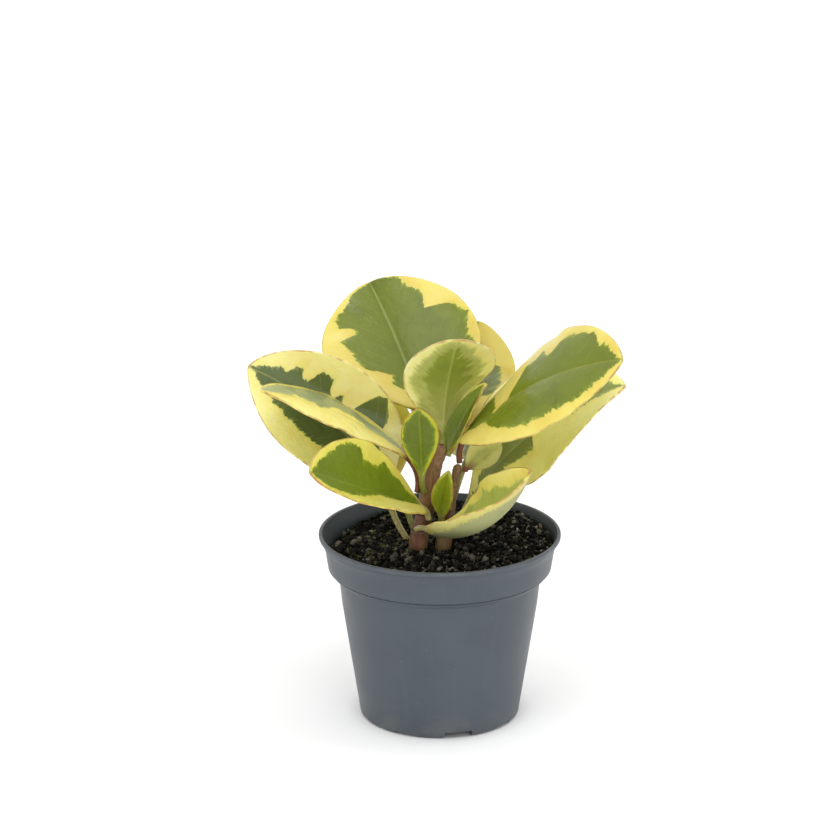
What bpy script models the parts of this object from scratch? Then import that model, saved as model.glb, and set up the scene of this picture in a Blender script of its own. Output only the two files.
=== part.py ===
"""Potted variegated peperomia in a round nursery pot.

Metres, +Z up. The origin is the middle of the pot's foot, on the floor, and the front is -Y.
Every separate stem, petiole and leaf is a solid of its own, and so are the pot and its soil.
"""

from math import asin, cos, hypot, pi, radians, sin

import bmesh
import bpy
from mathutils import Vector

MM = 0.001

# ---- pot -------------------------------------------------------------------------------------
POT_HEIGHT = 95.0
LIP_RADIUS = 60.3
LIP_DROP = 3.0
LIP_FOOT_RADIUS = 59.2
FLARE_RADIUS = 57.5
FLARE_DEPTH = 6.8
BAND_TOP_RADIUS = 57.0
BAND_TOP_DEPTH = 8.9
BAND_FOOT_RADIUS = 55.6
BAND_DEPTH = 17.9
SHOULDER_START_RADIUS = 54.5
SHOULDER_START_DEPTH = 18.8
SHOULDER_DEPTH = 22.6
SHOULDER_RADIUS = 50.3
BODY_RADIUS = 48.8
BODY_DEPTH = 36.4
FOOT_RADIUS = 40.0
FOOT_BEND = 2.4
WALL = 1.1
FLOOR_RAISE = 1.8
FLOOR_THICK = 1.2
FOOT_INNER_RADIUS = 35.6
CENTRE_PAD_RADIUS = 7.0
POT_STEPS = 48

NOTCH_COUNT = 9
NOTCH_START = -76.5
DRAIN_EVERY = 3
DRAIN_WIDTH = 16.0
DRAIN_HEIGHT = 3.4
SCALLOP_WIDTH = 11.0
SCALLOP_HEIGHT = 1.6
NOTCH_SLANT = 0.35
DRAIN_INSET = 2.5
SCALLOP_INSET = 4.0
NOTCH_OVERRUN = 6.0
NOTCH_DIP = 2.0

# ---- soil ------------------------------------------------------------------------------------
CLEARANCE = 0.3
SOIL_TOP = 86.0
SOIL_CROWN = 86.6
SOIL_FLAT_RADIUS = 26.0
SOIL_SLOPE_RADIUS = 42.0
SOIL_SLOPE_DROP = 0.4
SOIL_EDGE_GAP = 0.9
SOIL_EDGE_WIDTH = 1.5
SOIL_EDGE_DROP = 1.0
SOCKET_DEPTH = 7.0
SOIL_STEPS = 48
SOCKET_SIDES = 20

# ---- stems: centre points (x, y, z) and radius, from the soil upwards ---------------------------
SOCKET_FLOOR = SOIL_CROWN - SOCKET_DEPTH
STEMS = {
    "stem_main": [
        ((-11.0, 2.0, SOCKET_FLOOR + CLEARANCE), 4.6),
        ((-11.0, 2.0, 87.5), 5.0),
        ((-9.5, 1.5, 95.0), 4.6),
        ((-7.5, 0.5, 104.0), 4.1),
        ((-5.5, -1.5, 117.0), 4.3),
        ((-3.0, -2.5, 130.0), 3.9),
        ((0.0, -3.0, 138.0), 3.1),
        ((1.0, -3.2, 142.0), 2.3),
    ],
    "stem_right": [
        ((1.6, 1.0, SOCKET_FLOOR + CLEARANCE), 4.0),
        ((1.6, 1.0, 88.0), 4.3),
        ((3.0, 0.8, 96.0), 3.5),
        ((5.0, 0.2, 107.0), 2.5),
        ((7.2, -0.8, 120.0), 2.1),
        ((8.6, -1.2, 128.0), 2.4),
        ((9.0, -1.5, 131.0), 2.2),
    ],
}

# ---- leaves ------------------------------------------------------------------------------------
PETIOLE_RADIUS = 1.5
BLADE_THICK = 1.4
EDGE_THINNING = 0.45
EDGE_SHARE = 0.25
LEAF_COLUMNS = 8
PETIOLE_ROWS = 3
BLADE_ROWS = 10
TIP_ROW = 0.9
TIP_SPREAD = 4
PETIOLE_BLEND = 0.35
NECK_SHARE = 0.3
WALK_STEPS = 12


def smoothstep(value):
    value = min(1.0, max(0.0, value))
    return value * value * (3 - 2 * value)


class Leaf:
    """One leaf: petiole and blade. Lengths are millimetres and angles are degrees."""

    def __init__(self, base, azimuth, climb, petiole, length, width, rise=0, droop=0,
                 sweep=0, roll=0, twist=0, cup=20, fold=8, widest=1.1, fullness=0.62, taper=0.0):
        self.base = Vector(base)
        self.azimuth = azimuth
        self.climb = climb
        self.petiole = petiole
        self.length = length
        self.width = width
        self.rise = rise
        self.droop = droop
        self.sweep = sweep
        self.roll = roll
        self.twist = twist
        self.cup = cup
        self.fold = fold
        self.widest = widest
        self.fullness = fullness
        self.taper = taper

    def axes(self, s):
        """Forward, upper-side and right-hand directions.

        s is -1 at the base, 0 at the blade and 1 at the tip.
        """
        on_petiole = max(0.0, -s)
        on_blade = max(0.0, s)
        climb = radians(self.climb + self.rise * on_petiole - self.droop * on_blade)
        azimuth = radians(self.azimuth + self.sweep * on_blade)
        roll = radians(self.roll + self.twist * on_blade)
        forward = Vector((cos(climb) * cos(azimuth), cos(climb) * sin(azimuth), sin(climb)))
        level_up = Vector((-sin(climb) * cos(azimuth), -sin(climb) * sin(azimuth), cos(climb)))
        level_right = forward.cross(level_up)
        upper = level_up * cos(roll) + level_right * sin(roll)
        right = level_right * cos(roll) - level_up * sin(roll)
        return forward, upper, right

    def midrib(self, s):
        """Point on the midrib, found by walking from the base in short steps."""
        point = self.base.copy()
        for start, stop, reach in ((-1.0, min(s, 0.0), self.petiole), (0.0, s, self.length)):
            if stop <= start:
                continue
            for step in range(WALK_STEPS):
                middle = start + (stop - start) * (step + 0.5) / WALK_STEPS
                point += self.axes(middle)[0] * (reach * (stop - start) / WALK_STEPS)
        return point

    def half_width(self, q):
        """Half the blade's width at the fraction q of its length."""
        if q <= 0.0 or q >= 1.0:
            return 0.0
        neck = 1.0
        if self.taper > 0.0:
            neck = NECK_SHARE + (1 - NECK_SHARE) * smoothstep(q / self.taper)
        return self.width / 2 * sin(pi * q ** self.widest) ** self.fullness * neck

    def surface(self, s, side):
        """Point at s along the leaf and side millimetres across it, measured on the flat leaf."""
        half = self.width / 2
        cup = radians(self.cup)
        fold = radians(self.fold)
        turned = fold + cup * abs(side) / half
        across = half / cup * (sin(turned) - sin(fold))
        lifted = half / cup * (cos(fold) - cos(turned))
        forward, upper, right = self.axes(s)
        if side < 0:
            across = -across
        return self.midrib(s) + right * across + upper * lifted


# Bases sit on the stems, or on the soil; azimuth 0 is +X and 90 is +Y, away from the front.
LEAVES = {
    "leaf_top_back": Leaf(
        base=(-3, 0.6, 137), azimuth=108, climb=39, petiole=24.5, length=79, width=83,
        rise=-4, droop=-2, sweep=16, roll=1, twist=-25,
        cup=-20, fold=21, widest=0.95, fullness=0.6,
    ),
    "leaf_crown": Leaf(
        base=(0.9, -3.6, 143), azimuth=-49, climb=89, petiole=4.5, length=56.5, width=50.5,
        rise=7, droop=33, sweep=-23, roll=8, twist=-13,
        cup=-25, fold=12, widest=1.45, fullness=0.74,
    ),
    "leaf_front_small": Leaf(
        base=(-7.9, -6.8, 118.5), azimuth=75, climb=96, petiole=9.5, length=38.5, width=19,
        rise=39, droop=-7, sweep=-1, roll=19, twist=-2,
        cup=23, fold=-5, widest=1.46, fullness=0.66,
    ),
    "leaf_inner": Leaf(
        base=(3.9, -1.8, 135.5), azimuth=51, climb=56, petiole=2, length=39.5, width=28,
        rise=0, droop=12, sweep=-14, roll=-22, twist=-4,
        cup=17, fold=6, widest=1.09, fullness=0.59,
    ),
    "leaf_right_bud": Leaf(
        base=(12.4, -2.4, 127.7), azimuth=8, climb=40, petiole=2, length=21, width=18,
        rise=44, droop=10, sweep=2, roll=-80, twist=0,
        cup=12, fold=4, widest=1.09, fullness=0.63,
    ),
    "leaf_back_right": Leaf(
        base=(0.7, 1.1, 132.4), azimuth=70, climb=42, petiole=17.5, length=70, width=47,
        rise=-10, droop=14, sweep=9, roll=13, twist=4,
        cup=4, fold=-1, widest=1.12, fullness=0.63,
    ),
    "leaf_left_big": Leaf(
        base=(-16.1, 9.6, 87.5), azimuth=174.6, climb=70, petiole=15, length=108.7, width=67.7,
        rise=-15.4, droop=45.5, sweep=11.9, roll=-51.7, twist=-34.4,
        cup=43, fold=14.4, widest=1.26, fullness=0.72, taper=0.34,
    ),
    "leaf_left_level": Leaf(
        base=(-11.3, -3.1, 117), azimuth=192, climb=44, petiole=20.5, length=84.5, width=43,
        rise=60, droop=30, sweep=5, roll=-12, twist=9,
        cup=-13, fold=4, widest=1.31, fullness=0.63,
    ),
    "leaf_front_left": Leaf(
        base=(-5.5, -5.2, 103.5), azimuth=231, climb=25, petiole=10.5, length=85.5, width=49,
        rise=54, droop=-2, sweep=-10, roll=-33, twist=-15,
        cup=27, fold=17, widest=1.19, fullness=0.49,
    ),
    "leaf_right_big": Leaf(
        base=(9.8, -1.6, 131.8), azimuth=-35, climb=50, petiole=14.5, length=104.5, width=68,
        rise=52, droop=36, sweep=8, roll=16, twist=33,
        cup=-33, fold=12, widest=0.9, fullness=0.59,
    ),
    "leaf_right_low": Leaf(
        base=(10.2, 12, 87.6), azimuth=-8.6, climb=61.9, petiole=15, length=108.2, width=62.5,
        rise=40, droop=42.1, sweep=0.6, roll=78.3, twist=-62.6,
        cup=8.9, fold=12.9, widest=1.37, fullness=0.68, taper=0.42,
    ),
    "leaf_front_right": Leaf(
        base=(-11.7, -4.4, 97.8), azimuth=-56, climb=-3, petiole=12, length=81, width=46.5,
        rise=37, droop=-76, sweep=49, roll=1, twist=26,
        cup=39, fold=24, widest=1.12, fullness=0.51,
    ),
    "leaf_front_young": Leaf(
        base=(0.6, -3.3, 101.5), azimuth=99, climb=109, petiole=3, length=30, width=13,
        rise=10, droop=-7, sweep=16, roll=-30, twist=-11,
        cup=25, fold=20, widest=1.05, fullness=0.75,
    ),
    "leaf_rear_left": Leaf(
        base=(-12, 15.5, 87.7), azimuth=129, climb=55, petiole=30.5, length=71.5, width=54,
        rise=3, droop=25, sweep=10, roll=1, twist=6,
        cup=6, fold=7, widest=1.16, fullness=0.61,
    ),
    "leaf_rear_middle": Leaf(
        base=(-4.6, 3.4, 119), azimuth=82, climb=30, petiole=25.5, length=71.5, width=53,
        rise=2, droop=20, sweep=-3, roll=17, twist=12,
        cup=12, fold=9, widest=1.2, fullness=0.61,
    ),
    "leaf_rear_low": Leaf(
        base=(6.3, 3.4, 109), azimuth=73, climb=23, petiole=30, length=71.5, width=51.5,
        rise=14, droop=39, sweep=0, roll=-27, twist=0,
        cup=8, fold=2, widest=1.13, fullness=0.62,
    ),
}


def select_only(obj):
    bpy.ops.object.select_all(action="DESELECT")
    obj.select_set(True)
    bpy.context.view_layer.objects.active = obj


def apply_modifiers(obj):
    select_only(obj)
    for modifier in list(obj.modifiers):
        bpy.ops.object.modifier_apply(modifier=modifier.name)


def shade_smooth(obj):
    for face in obj.data.polygons:
        face.use_smooth = True


def build_leaf(name, leaf):
    """A grid is bent into the petiole and blade, then thickened: round petiole, thin blade."""
    rows = PETIOLE_ROWS + BLADE_ROWS
    bpy.ops.mesh.primitive_grid_add(x_subdivisions=LEAF_COLUMNS, y_subdivisions=rows, size=2)
    obj = bpy.context.active_object
    obj.name = name
    group = obj.vertex_groups.new(name="thickness")
    widest_row = leaf.half_width(TIP_ROW)
    for vertex in obj.data.vertices:
        a = vertex.co.x
        row = round((vertex.co.y + 1) / 2 * rows)
        round_a = sin(a * pi / 2)
        round_half = PETIOLE_RADIUS * max(cos(a * pi / 2), EDGE_SHARE)
        if row <= PETIOLE_ROWS:
            s = row / PETIOLE_ROWS - 1
            side = PETIOLE_RADIUS * round_a
            half_thick = round_half
        else:
            b = (row - PETIOLE_ROWS) / BLADE_ROWS
            ratio = abs(a) * widest_row / (leaf.width / 2)
            reach = asin(min(1.0, ratio ** (1 / leaf.fullness)))
            tip = (1 - reach / pi) ** (1 / leaf.widest)
            s = TIP_ROW * b + b ** TIP_SPREAD * (tip - TIP_ROW)
            spread = smoothstep(b / PETIOLE_BLEND)
            half = hypot(leaf.half_width(TIP_ROW * b), PETIOLE_RADIUS * (1 - spread))
            side = half * (round_a + (a - round_a) * spread)
            blade_half = BLADE_THICK / 2 * (1 - EDGE_THINNING * a * a)
            half_thick = round_half + (blade_half - round_half) * spread
        vertex.co = leaf.surface(s, side) * MM
        group.add([vertex.index], half_thick / PETIOLE_RADIUS, "REPLACE")
    solid = obj.modifiers.new("thickness", "SOLIDIFY")
    solid.thickness = 2 * PETIOLE_RADIUS * MM
    solid.offset = 0
    solid.vertex_group = group.name
    apply_modifiers(obj)
    return obj


def build_stem(name, points):
    """A tapering stalk along hand-set points, with closed ends."""
    data = bpy.data.curves.new(name, "CURVE")
    data.dimensions = "3D"
    data.bevel_depth = MM
    data.bevel_resolution = 3
    data.use_fill_caps = True
    data.resolution_u = 3
    spline = data.splines.new("NURBS")
    spline.points.add(len(points) - 1)
    spline.use_endpoint_u = True
    spline.order_u = 3
    for control, (place, radius) in zip(spline.points, points):
        control.co = (*(value * MM for value in place), 1.0)
        control.radius = radius
    obj = bpy.data.objects.new(name, data)
    bpy.context.collection.objects.link(obj)
    select_only(obj)
    bpy.ops.object.convert(target="MESH")
    obj = bpy.context.active_object
    weld(obj)
    return obj


def weld(obj):
    work = bmesh.new()
    work.from_mesh(obj.data)
    bmesh.ops.remove_doubles(work, verts=work.verts, dist=1e-6)
    bmesh.ops.recalc_face_normals(work, faces=work.faces)
    work.to_mesh(obj.data)
    work.free()


def turned(name, profile, steps):
    """A round solid from a profile of (radius, height) that runs down its outer side."""
    data = bpy.data.meshes.new(name)
    vertices = [(radius * MM, 0.0, height * MM) for radius, height in profile]
    edges = [(index, index + 1) for index in range(len(vertices) - 1)]
    data.from_pydata(vertices, edges, [])
    obj = bpy.data.objects.new(name, data)
    bpy.context.collection.objects.link(obj)
    screw = obj.modifiers.new("turn", "SCREW")
    screw.axis = "Z"
    screw.steps = steps
    screw.render_steps = steps
    screw.use_merge_vertices = True
    screw.merge_threshold = 0.00001
    apply_modifiers(obj)
    weld(obj)
    return obj


def arc(centre, radius, start, stop, steps):
    """Points on an arc in the profile plane; angles in degrees from +X."""
    points = []
    for step in range(steps + 1):
        angle = radians(start + (stop - start) * step / steps)
        points.append((centre[0] + radius * cos(angle), centre[1] + radius * sin(angle)))
    return points


def wall_line(inset):
    """The wall from under the lip to the foot bend, set in by inset."""
    return [
        (LIP_FOOT_RADIUS - inset, POT_HEIGHT - LIP_DROP),
        (FLARE_RADIUS - inset, POT_HEIGHT - FLARE_DEPTH),
        (BAND_TOP_RADIUS - inset, POT_HEIGHT - BAND_TOP_DEPTH),
        (BAND_FOOT_RADIUS - inset, POT_HEIGHT - BAND_DEPTH),
        (SHOULDER_START_RADIUS - inset, POT_HEIGHT - SHOULDER_START_DEPTH),
        (SHOULDER_RADIUS - inset, POT_HEIGHT - SHOULDER_DEPTH),
        (BODY_RADIUS - inset, POT_HEIGHT - BODY_DEPTH),
    ]


def build_pot():
    """A thin cup with a flared lip, a band, a shoulder and a foot with drain notches."""
    floor_top = FLOOR_RAISE + FLOOR_THICK
    inner = wall_line(WALL)
    inner_foot = FOOT_RADIUS - WALL
    profile = [(0.0, floor_top), (inner_foot - FOOT_BEND, floor_top)]
    profile += arc((inner_foot - FOOT_BEND, floor_top + FOOT_BEND), FOOT_BEND, -60, 0, 2)
    profile += list(reversed(inner))
    profile += [
        (LIP_RADIUS - 1.9, POT_HEIGHT - 0.5),
        (LIP_RADIUS - 1.6, POT_HEIGHT),
        (LIP_RADIUS - 0.4, POT_HEIGHT),
        (LIP_RADIUS, POT_HEIGHT - 1.0),
        (LIP_RADIUS - 0.4, POT_HEIGHT - 2.2),
    ]
    profile += wall_line(0.0)
    profile += arc((FOOT_RADIUS - FOOT_BEND, FOOT_BEND), FOOT_BEND, 0, -90, 3)
    profile += [
        (FOOT_INNER_RADIUS + 0.6, 0.0),
        (FOOT_INNER_RADIUS, 0.6),
        (FOOT_INNER_RADIUS - 1.2, FLOOR_RAISE),
        (CENTRE_PAD_RADIUS + 1.0, FLOOR_RAISE),
        (CENTRE_PAD_RADIUS, 0.0),
        (0.0, 0.0),
    ]
    pot = turned("pot", profile, POT_STEPS)
    for index in range(NOTCH_COUNT):
        drain = index % DRAIN_EVERY == 0
        width = DRAIN_WIDTH if drain else SCALLOP_WIDTH
        height = DRAIN_HEIGHT if drain else SCALLOP_HEIGHT
        inner_reach = FOOT_INNER_RADIUS - (DRAIN_INSET if drain else SCALLOP_INSET)
        azimuth = NOTCH_START + 360 / NOTCH_COUNT * index
        cut_notch(pot, f"notch_{index + 1}", azimuth, width, height, inner_reach)
    return pot


def cut_notch(pot, name, azimuth, width, height, inner_reach):
    """A slot with slanted ends, cut up into the foot."""
    bpy.ops.mesh.primitive_cube_add(size=1)
    cutter = bpy.context.active_object
    cutter.name = name
    outer_reach = FOOT_RADIUS + NOTCH_OVERRUN
    turn = radians(azimuth)
    for vertex in cutter.data.vertices:
        top = vertex.co.z > 0
        reach = outer_reach if vertex.co.x > 0 else inner_reach
        half = width / 2 - (NOTCH_SLANT * height if top else 0.0)
        side = half if vertex.co.y > 0 else -half
        rise = height if top else -NOTCH_DIP
        vertex.co = (
            (reach * cos(turn) - side * sin(turn)) * MM,
            (reach * sin(turn) + side * cos(turn)) * MM,
            rise * MM,
        )
    subtract(pot, cutter)


def subtract(obj, cutter):
    cutter.hide_render = True
    cutter.display_type = "WIRE"
    for home in list(cutter.users_collection):
        home.objects.unlink(cutter)
    cutters.objects.link(cutter)
    cut = obj.modifiers.new(cutter.name, "BOOLEAN")
    cut.operation = "DIFFERENCE"
    cut.solver = "EXACT"
    cut.object = cutter
    apply_modifiers(obj)


def build_soil():
    """The potting mix: it fills the pot to just under the band and holds the stems in sockets."""
    floor = FLOOR_RAISE + FLOOR_THICK + CLEARANCE
    side = [point for point in wall_line(WALL + CLEARANCE) if point[1] < SOIL_TOP]
    edge = BAND_TOP_RADIUS - WALL - SOIL_EDGE_GAP
    profile = [
        (0.0, SOIL_CROWN),
        (SOIL_FLAT_RADIUS, SOIL_CROWN),
        (SOIL_SLOPE_RADIUS, SOIL_CROWN - SOIL_SLOPE_DROP),
        (edge - SOIL_EDGE_WIDTH, SOIL_TOP),
        (edge, SOIL_TOP - SOIL_EDGE_DROP),
    ]
    profile += side
    foot = FOOT_RADIUS - WALL - CLEARANCE
    profile += arc((foot - FOOT_BEND, floor + FOOT_BEND), FOOT_BEND, 0, -60, 2)
    profile += [(foot - FOOT_BEND, floor), (0.0, floor)]
    soil = turned("soil", profile, SOIL_STEPS)
    for name, points in STEMS.items():
        (x, y, z), radius = points[0]
        widest = max(radius, points[1][1]) + CLEARANCE
        bpy.ops.mesh.primitive_cylinder_add(
            vertices=SOCKET_SIDES,
            radius=widest * MM,
            depth=2 * SOCKET_DEPTH * MM,
            location=(x * MM, y * MM, SOIL_CROWN * MM),
        )
        cutter = bpy.context.active_object
        cutter.name = f"socket_{name}"
        subtract(soil, cutter)
    return soil


def give_material(obj, name, colour, roughness):
    material = bpy.data.materials.get(name)
    if material is None:
        material = bpy.data.materials.new(name)
        material.use_nodes = True
        shader = material.node_tree.nodes["Principled BSDF"]
        shader.inputs["Base Color"].default_value = (*colour, 1.0)
        shader.inputs["Roughness"].default_value = roughness
        shader.inputs["Metallic"].default_value = 0.0
    obj.data.materials.clear()
    obj.data.materials.append(material)


def keep(obj, material, colour, roughness):
    """File a finished sub-part in the object's own collection."""
    for home in list(obj.users_collection):
        home.objects.unlink(obj)
    plant.objects.link(obj)
    shade_smooth(obj)
    give_material(obj, material, colour, roughness)


for old in list(bpy.data.objects):
    bpy.data.objects.remove(old, do_unlink=True)
plant = bpy.data.collections.new("potted_peperomia")
cutters = bpy.data.collections.new("cutters")
bpy.context.scene.collection.children.link(plant)
bpy.context.scene.collection.children.link(cutters)

keep(build_pot(), "pot_plastic", (0.10, 0.13, 0.16), 0.5)
keep(build_soil(), "potting_mix", (0.015, 0.012, 0.008), 0.95)
for stem_name, stem_points in STEMS.items():
    keep(build_stem(stem_name, stem_points), "stem_bark", (0.20, 0.09, 0.04), 0.55)
for leaf_name, leaf_shape in LEAVES.items():
    keep(build_leaf(leaf_name, leaf_shape), "leaf_flesh", (0.30, 0.36, 0.10), 0.3)
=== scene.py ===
"""Looks of a potted variegated peperomia: leaves, stems, potting mix, nursery pot and stage."""

import random
from dataclasses import dataclass
from math import cos, pi, radians, sin

import bmesh
import bpy
import numpy as np
from bpy.props import FloatProperty, FloatVectorProperty, IntProperty, PointerProperty
from mathutils import Matrix, Vector, noise


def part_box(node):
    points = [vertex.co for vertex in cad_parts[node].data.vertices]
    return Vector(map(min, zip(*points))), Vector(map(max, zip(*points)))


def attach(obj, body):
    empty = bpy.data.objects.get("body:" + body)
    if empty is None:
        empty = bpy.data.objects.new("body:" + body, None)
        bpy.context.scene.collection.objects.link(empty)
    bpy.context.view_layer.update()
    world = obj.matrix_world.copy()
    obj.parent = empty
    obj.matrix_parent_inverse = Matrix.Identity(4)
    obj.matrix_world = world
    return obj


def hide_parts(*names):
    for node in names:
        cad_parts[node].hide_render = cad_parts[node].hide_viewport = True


bl_info = {
    "name": "Potted Peperomia",
    "version": (1, 0, 0),
    "blender": (4, 5, 0),
    "location": "View3D > Sidebar > Peperomia",
    "description": "Builds a variegated peperomia in a nursery pot, piece by piece",
    "category": "Add Mesh",
}

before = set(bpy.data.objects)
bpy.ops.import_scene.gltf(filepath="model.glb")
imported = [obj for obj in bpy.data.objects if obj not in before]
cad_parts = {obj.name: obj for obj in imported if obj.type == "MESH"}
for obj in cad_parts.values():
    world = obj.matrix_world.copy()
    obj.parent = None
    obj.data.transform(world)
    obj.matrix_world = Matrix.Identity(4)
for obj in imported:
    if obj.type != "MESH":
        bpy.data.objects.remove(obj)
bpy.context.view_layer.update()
SOIL_LOW, SOIL_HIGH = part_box("soil")
MM = 0.001
LEAF_COLUMNS = 56
PETIOLE_ROWS = 16
BLADE_ROWS = 84
TIP_ROW = 0.9
TIP_SPREAD = 4
PETIOLE_BLEND = 0.35
NECK_SHARE = 0.3
VEIN_SPACING = 8.5
VEIN_SLANT = 0.8


# ---- leaf shapes and markings ------------------------------------------------------------------

@dataclass
class Leaf:
    """One leaf's bend, outline, markings and colours. Lengths in millimetres, angles in degrees.

    green_left and green_right say how far the green reaches from the midrib, as a share of the
    half width, at shares of the blade's length. A negative reach leaves the midrib pale. ragged,
    soft and depth shape the zone's edge, and bright_foot lightens the green near the stalk.
    """

    base: tuple
    azimuth: float
    climb: float
    petiole: float
    length: float
    width: float
    rise: float = 0
    droop: float = 0
    sweep: float = 0
    roll: float = 0
    twist: float = 0
    cup: float = 20
    fold: float = 8
    widest: float = 1.1
    fullness: float = 0.62
    taper: float = 0
    green_left: tuple = ((0, 0.7), (1, 0.7))
    green_right: tuple = ((0, 0.7), (1, 0.7))
    patches: tuple = ()
    colours: str = "mature"
    stalk: str = "red"
    ragged: float = 1.0
    soft: float = 0.2
    depth: float = 1.0
    wave: float = 0.5
    seed: int = 1
    bright_foot: float = 0

    def axes(self, s):
        """Forward, upper-side and right-hand directions at each s: -1 base, 0 blade, 1 tip."""
        on_petiole = np.maximum(0.0, -s)
        on_blade = np.maximum(0.0, s)
        climb = np.radians(self.climb + self.rise * on_petiole - self.droop * on_blade)
        azimuth = np.radians(self.azimuth + self.sweep * on_blade)
        roll = np.radians(self.roll + self.twist * on_blade)[..., None]
        level, steep = np.cos(climb), np.sin(climb)
        east, north = np.cos(azimuth), np.sin(azimuth)
        forward = np.stack([level * east, level * north, steep], -1)
        level_up = np.stack([-steep * east, -steep * north, level], -1)
        level_right = np.cross(forward, level_up)
        upper = level_up * np.cos(roll) + level_right * np.sin(roll)
        right = level_right * np.cos(roll) - level_up * np.sin(roll)
        return forward, upper, right

    def midrib(self, s):
        """Points on the midrib, summed in short steps from the base."""
        walk = np.concatenate([np.linspace(-1, 0, 61), np.linspace(0, 1, 241)[1:]])
        middle = (walk[1:] + walk[:-1]) / 2
        reach = np.diff(walk) * np.where(middle < 0, self.petiole, self.length)
        steps = self.axes(middle)[0] * reach[:, None]
        path = np.vstack([np.zeros(3), np.cumsum(steps, axis=0)]) + np.array(self.base)
        return np.stack([np.interp(s, walk, path[:, axis]) for axis in range(3)], -1)

    def half_width(self, q):
        """Half the blade's width at the fraction q of its length."""
        neck = 1.0
        if self.taper > 0:
            neck = NECK_SHARE + (1 - NECK_SHARE) * smoothstep(q / self.taper)
        return self.width / 2 * np.sin(pi * np.clip(q, 0, 1) ** self.widest) ** self.fullness * neck

    def surface(self, s, side, lift):
        """Points at s along the leaf, side across it and lift above it."""
        half = self.width / 2
        cup = radians(self.cup)
        fold = radians(self.fold)
        turned = fold + cup * np.abs(side) / half
        across = np.sign(side) * half / cup * (np.sin(turned) - sin(fold))
        lifted = half / cup * (cos(fold) - np.cos(turned)) + lift
        _, upper, right = self.axes(s)
        return self.midrib(s) + right * across[..., None] + upper * lifted[..., None]


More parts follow.
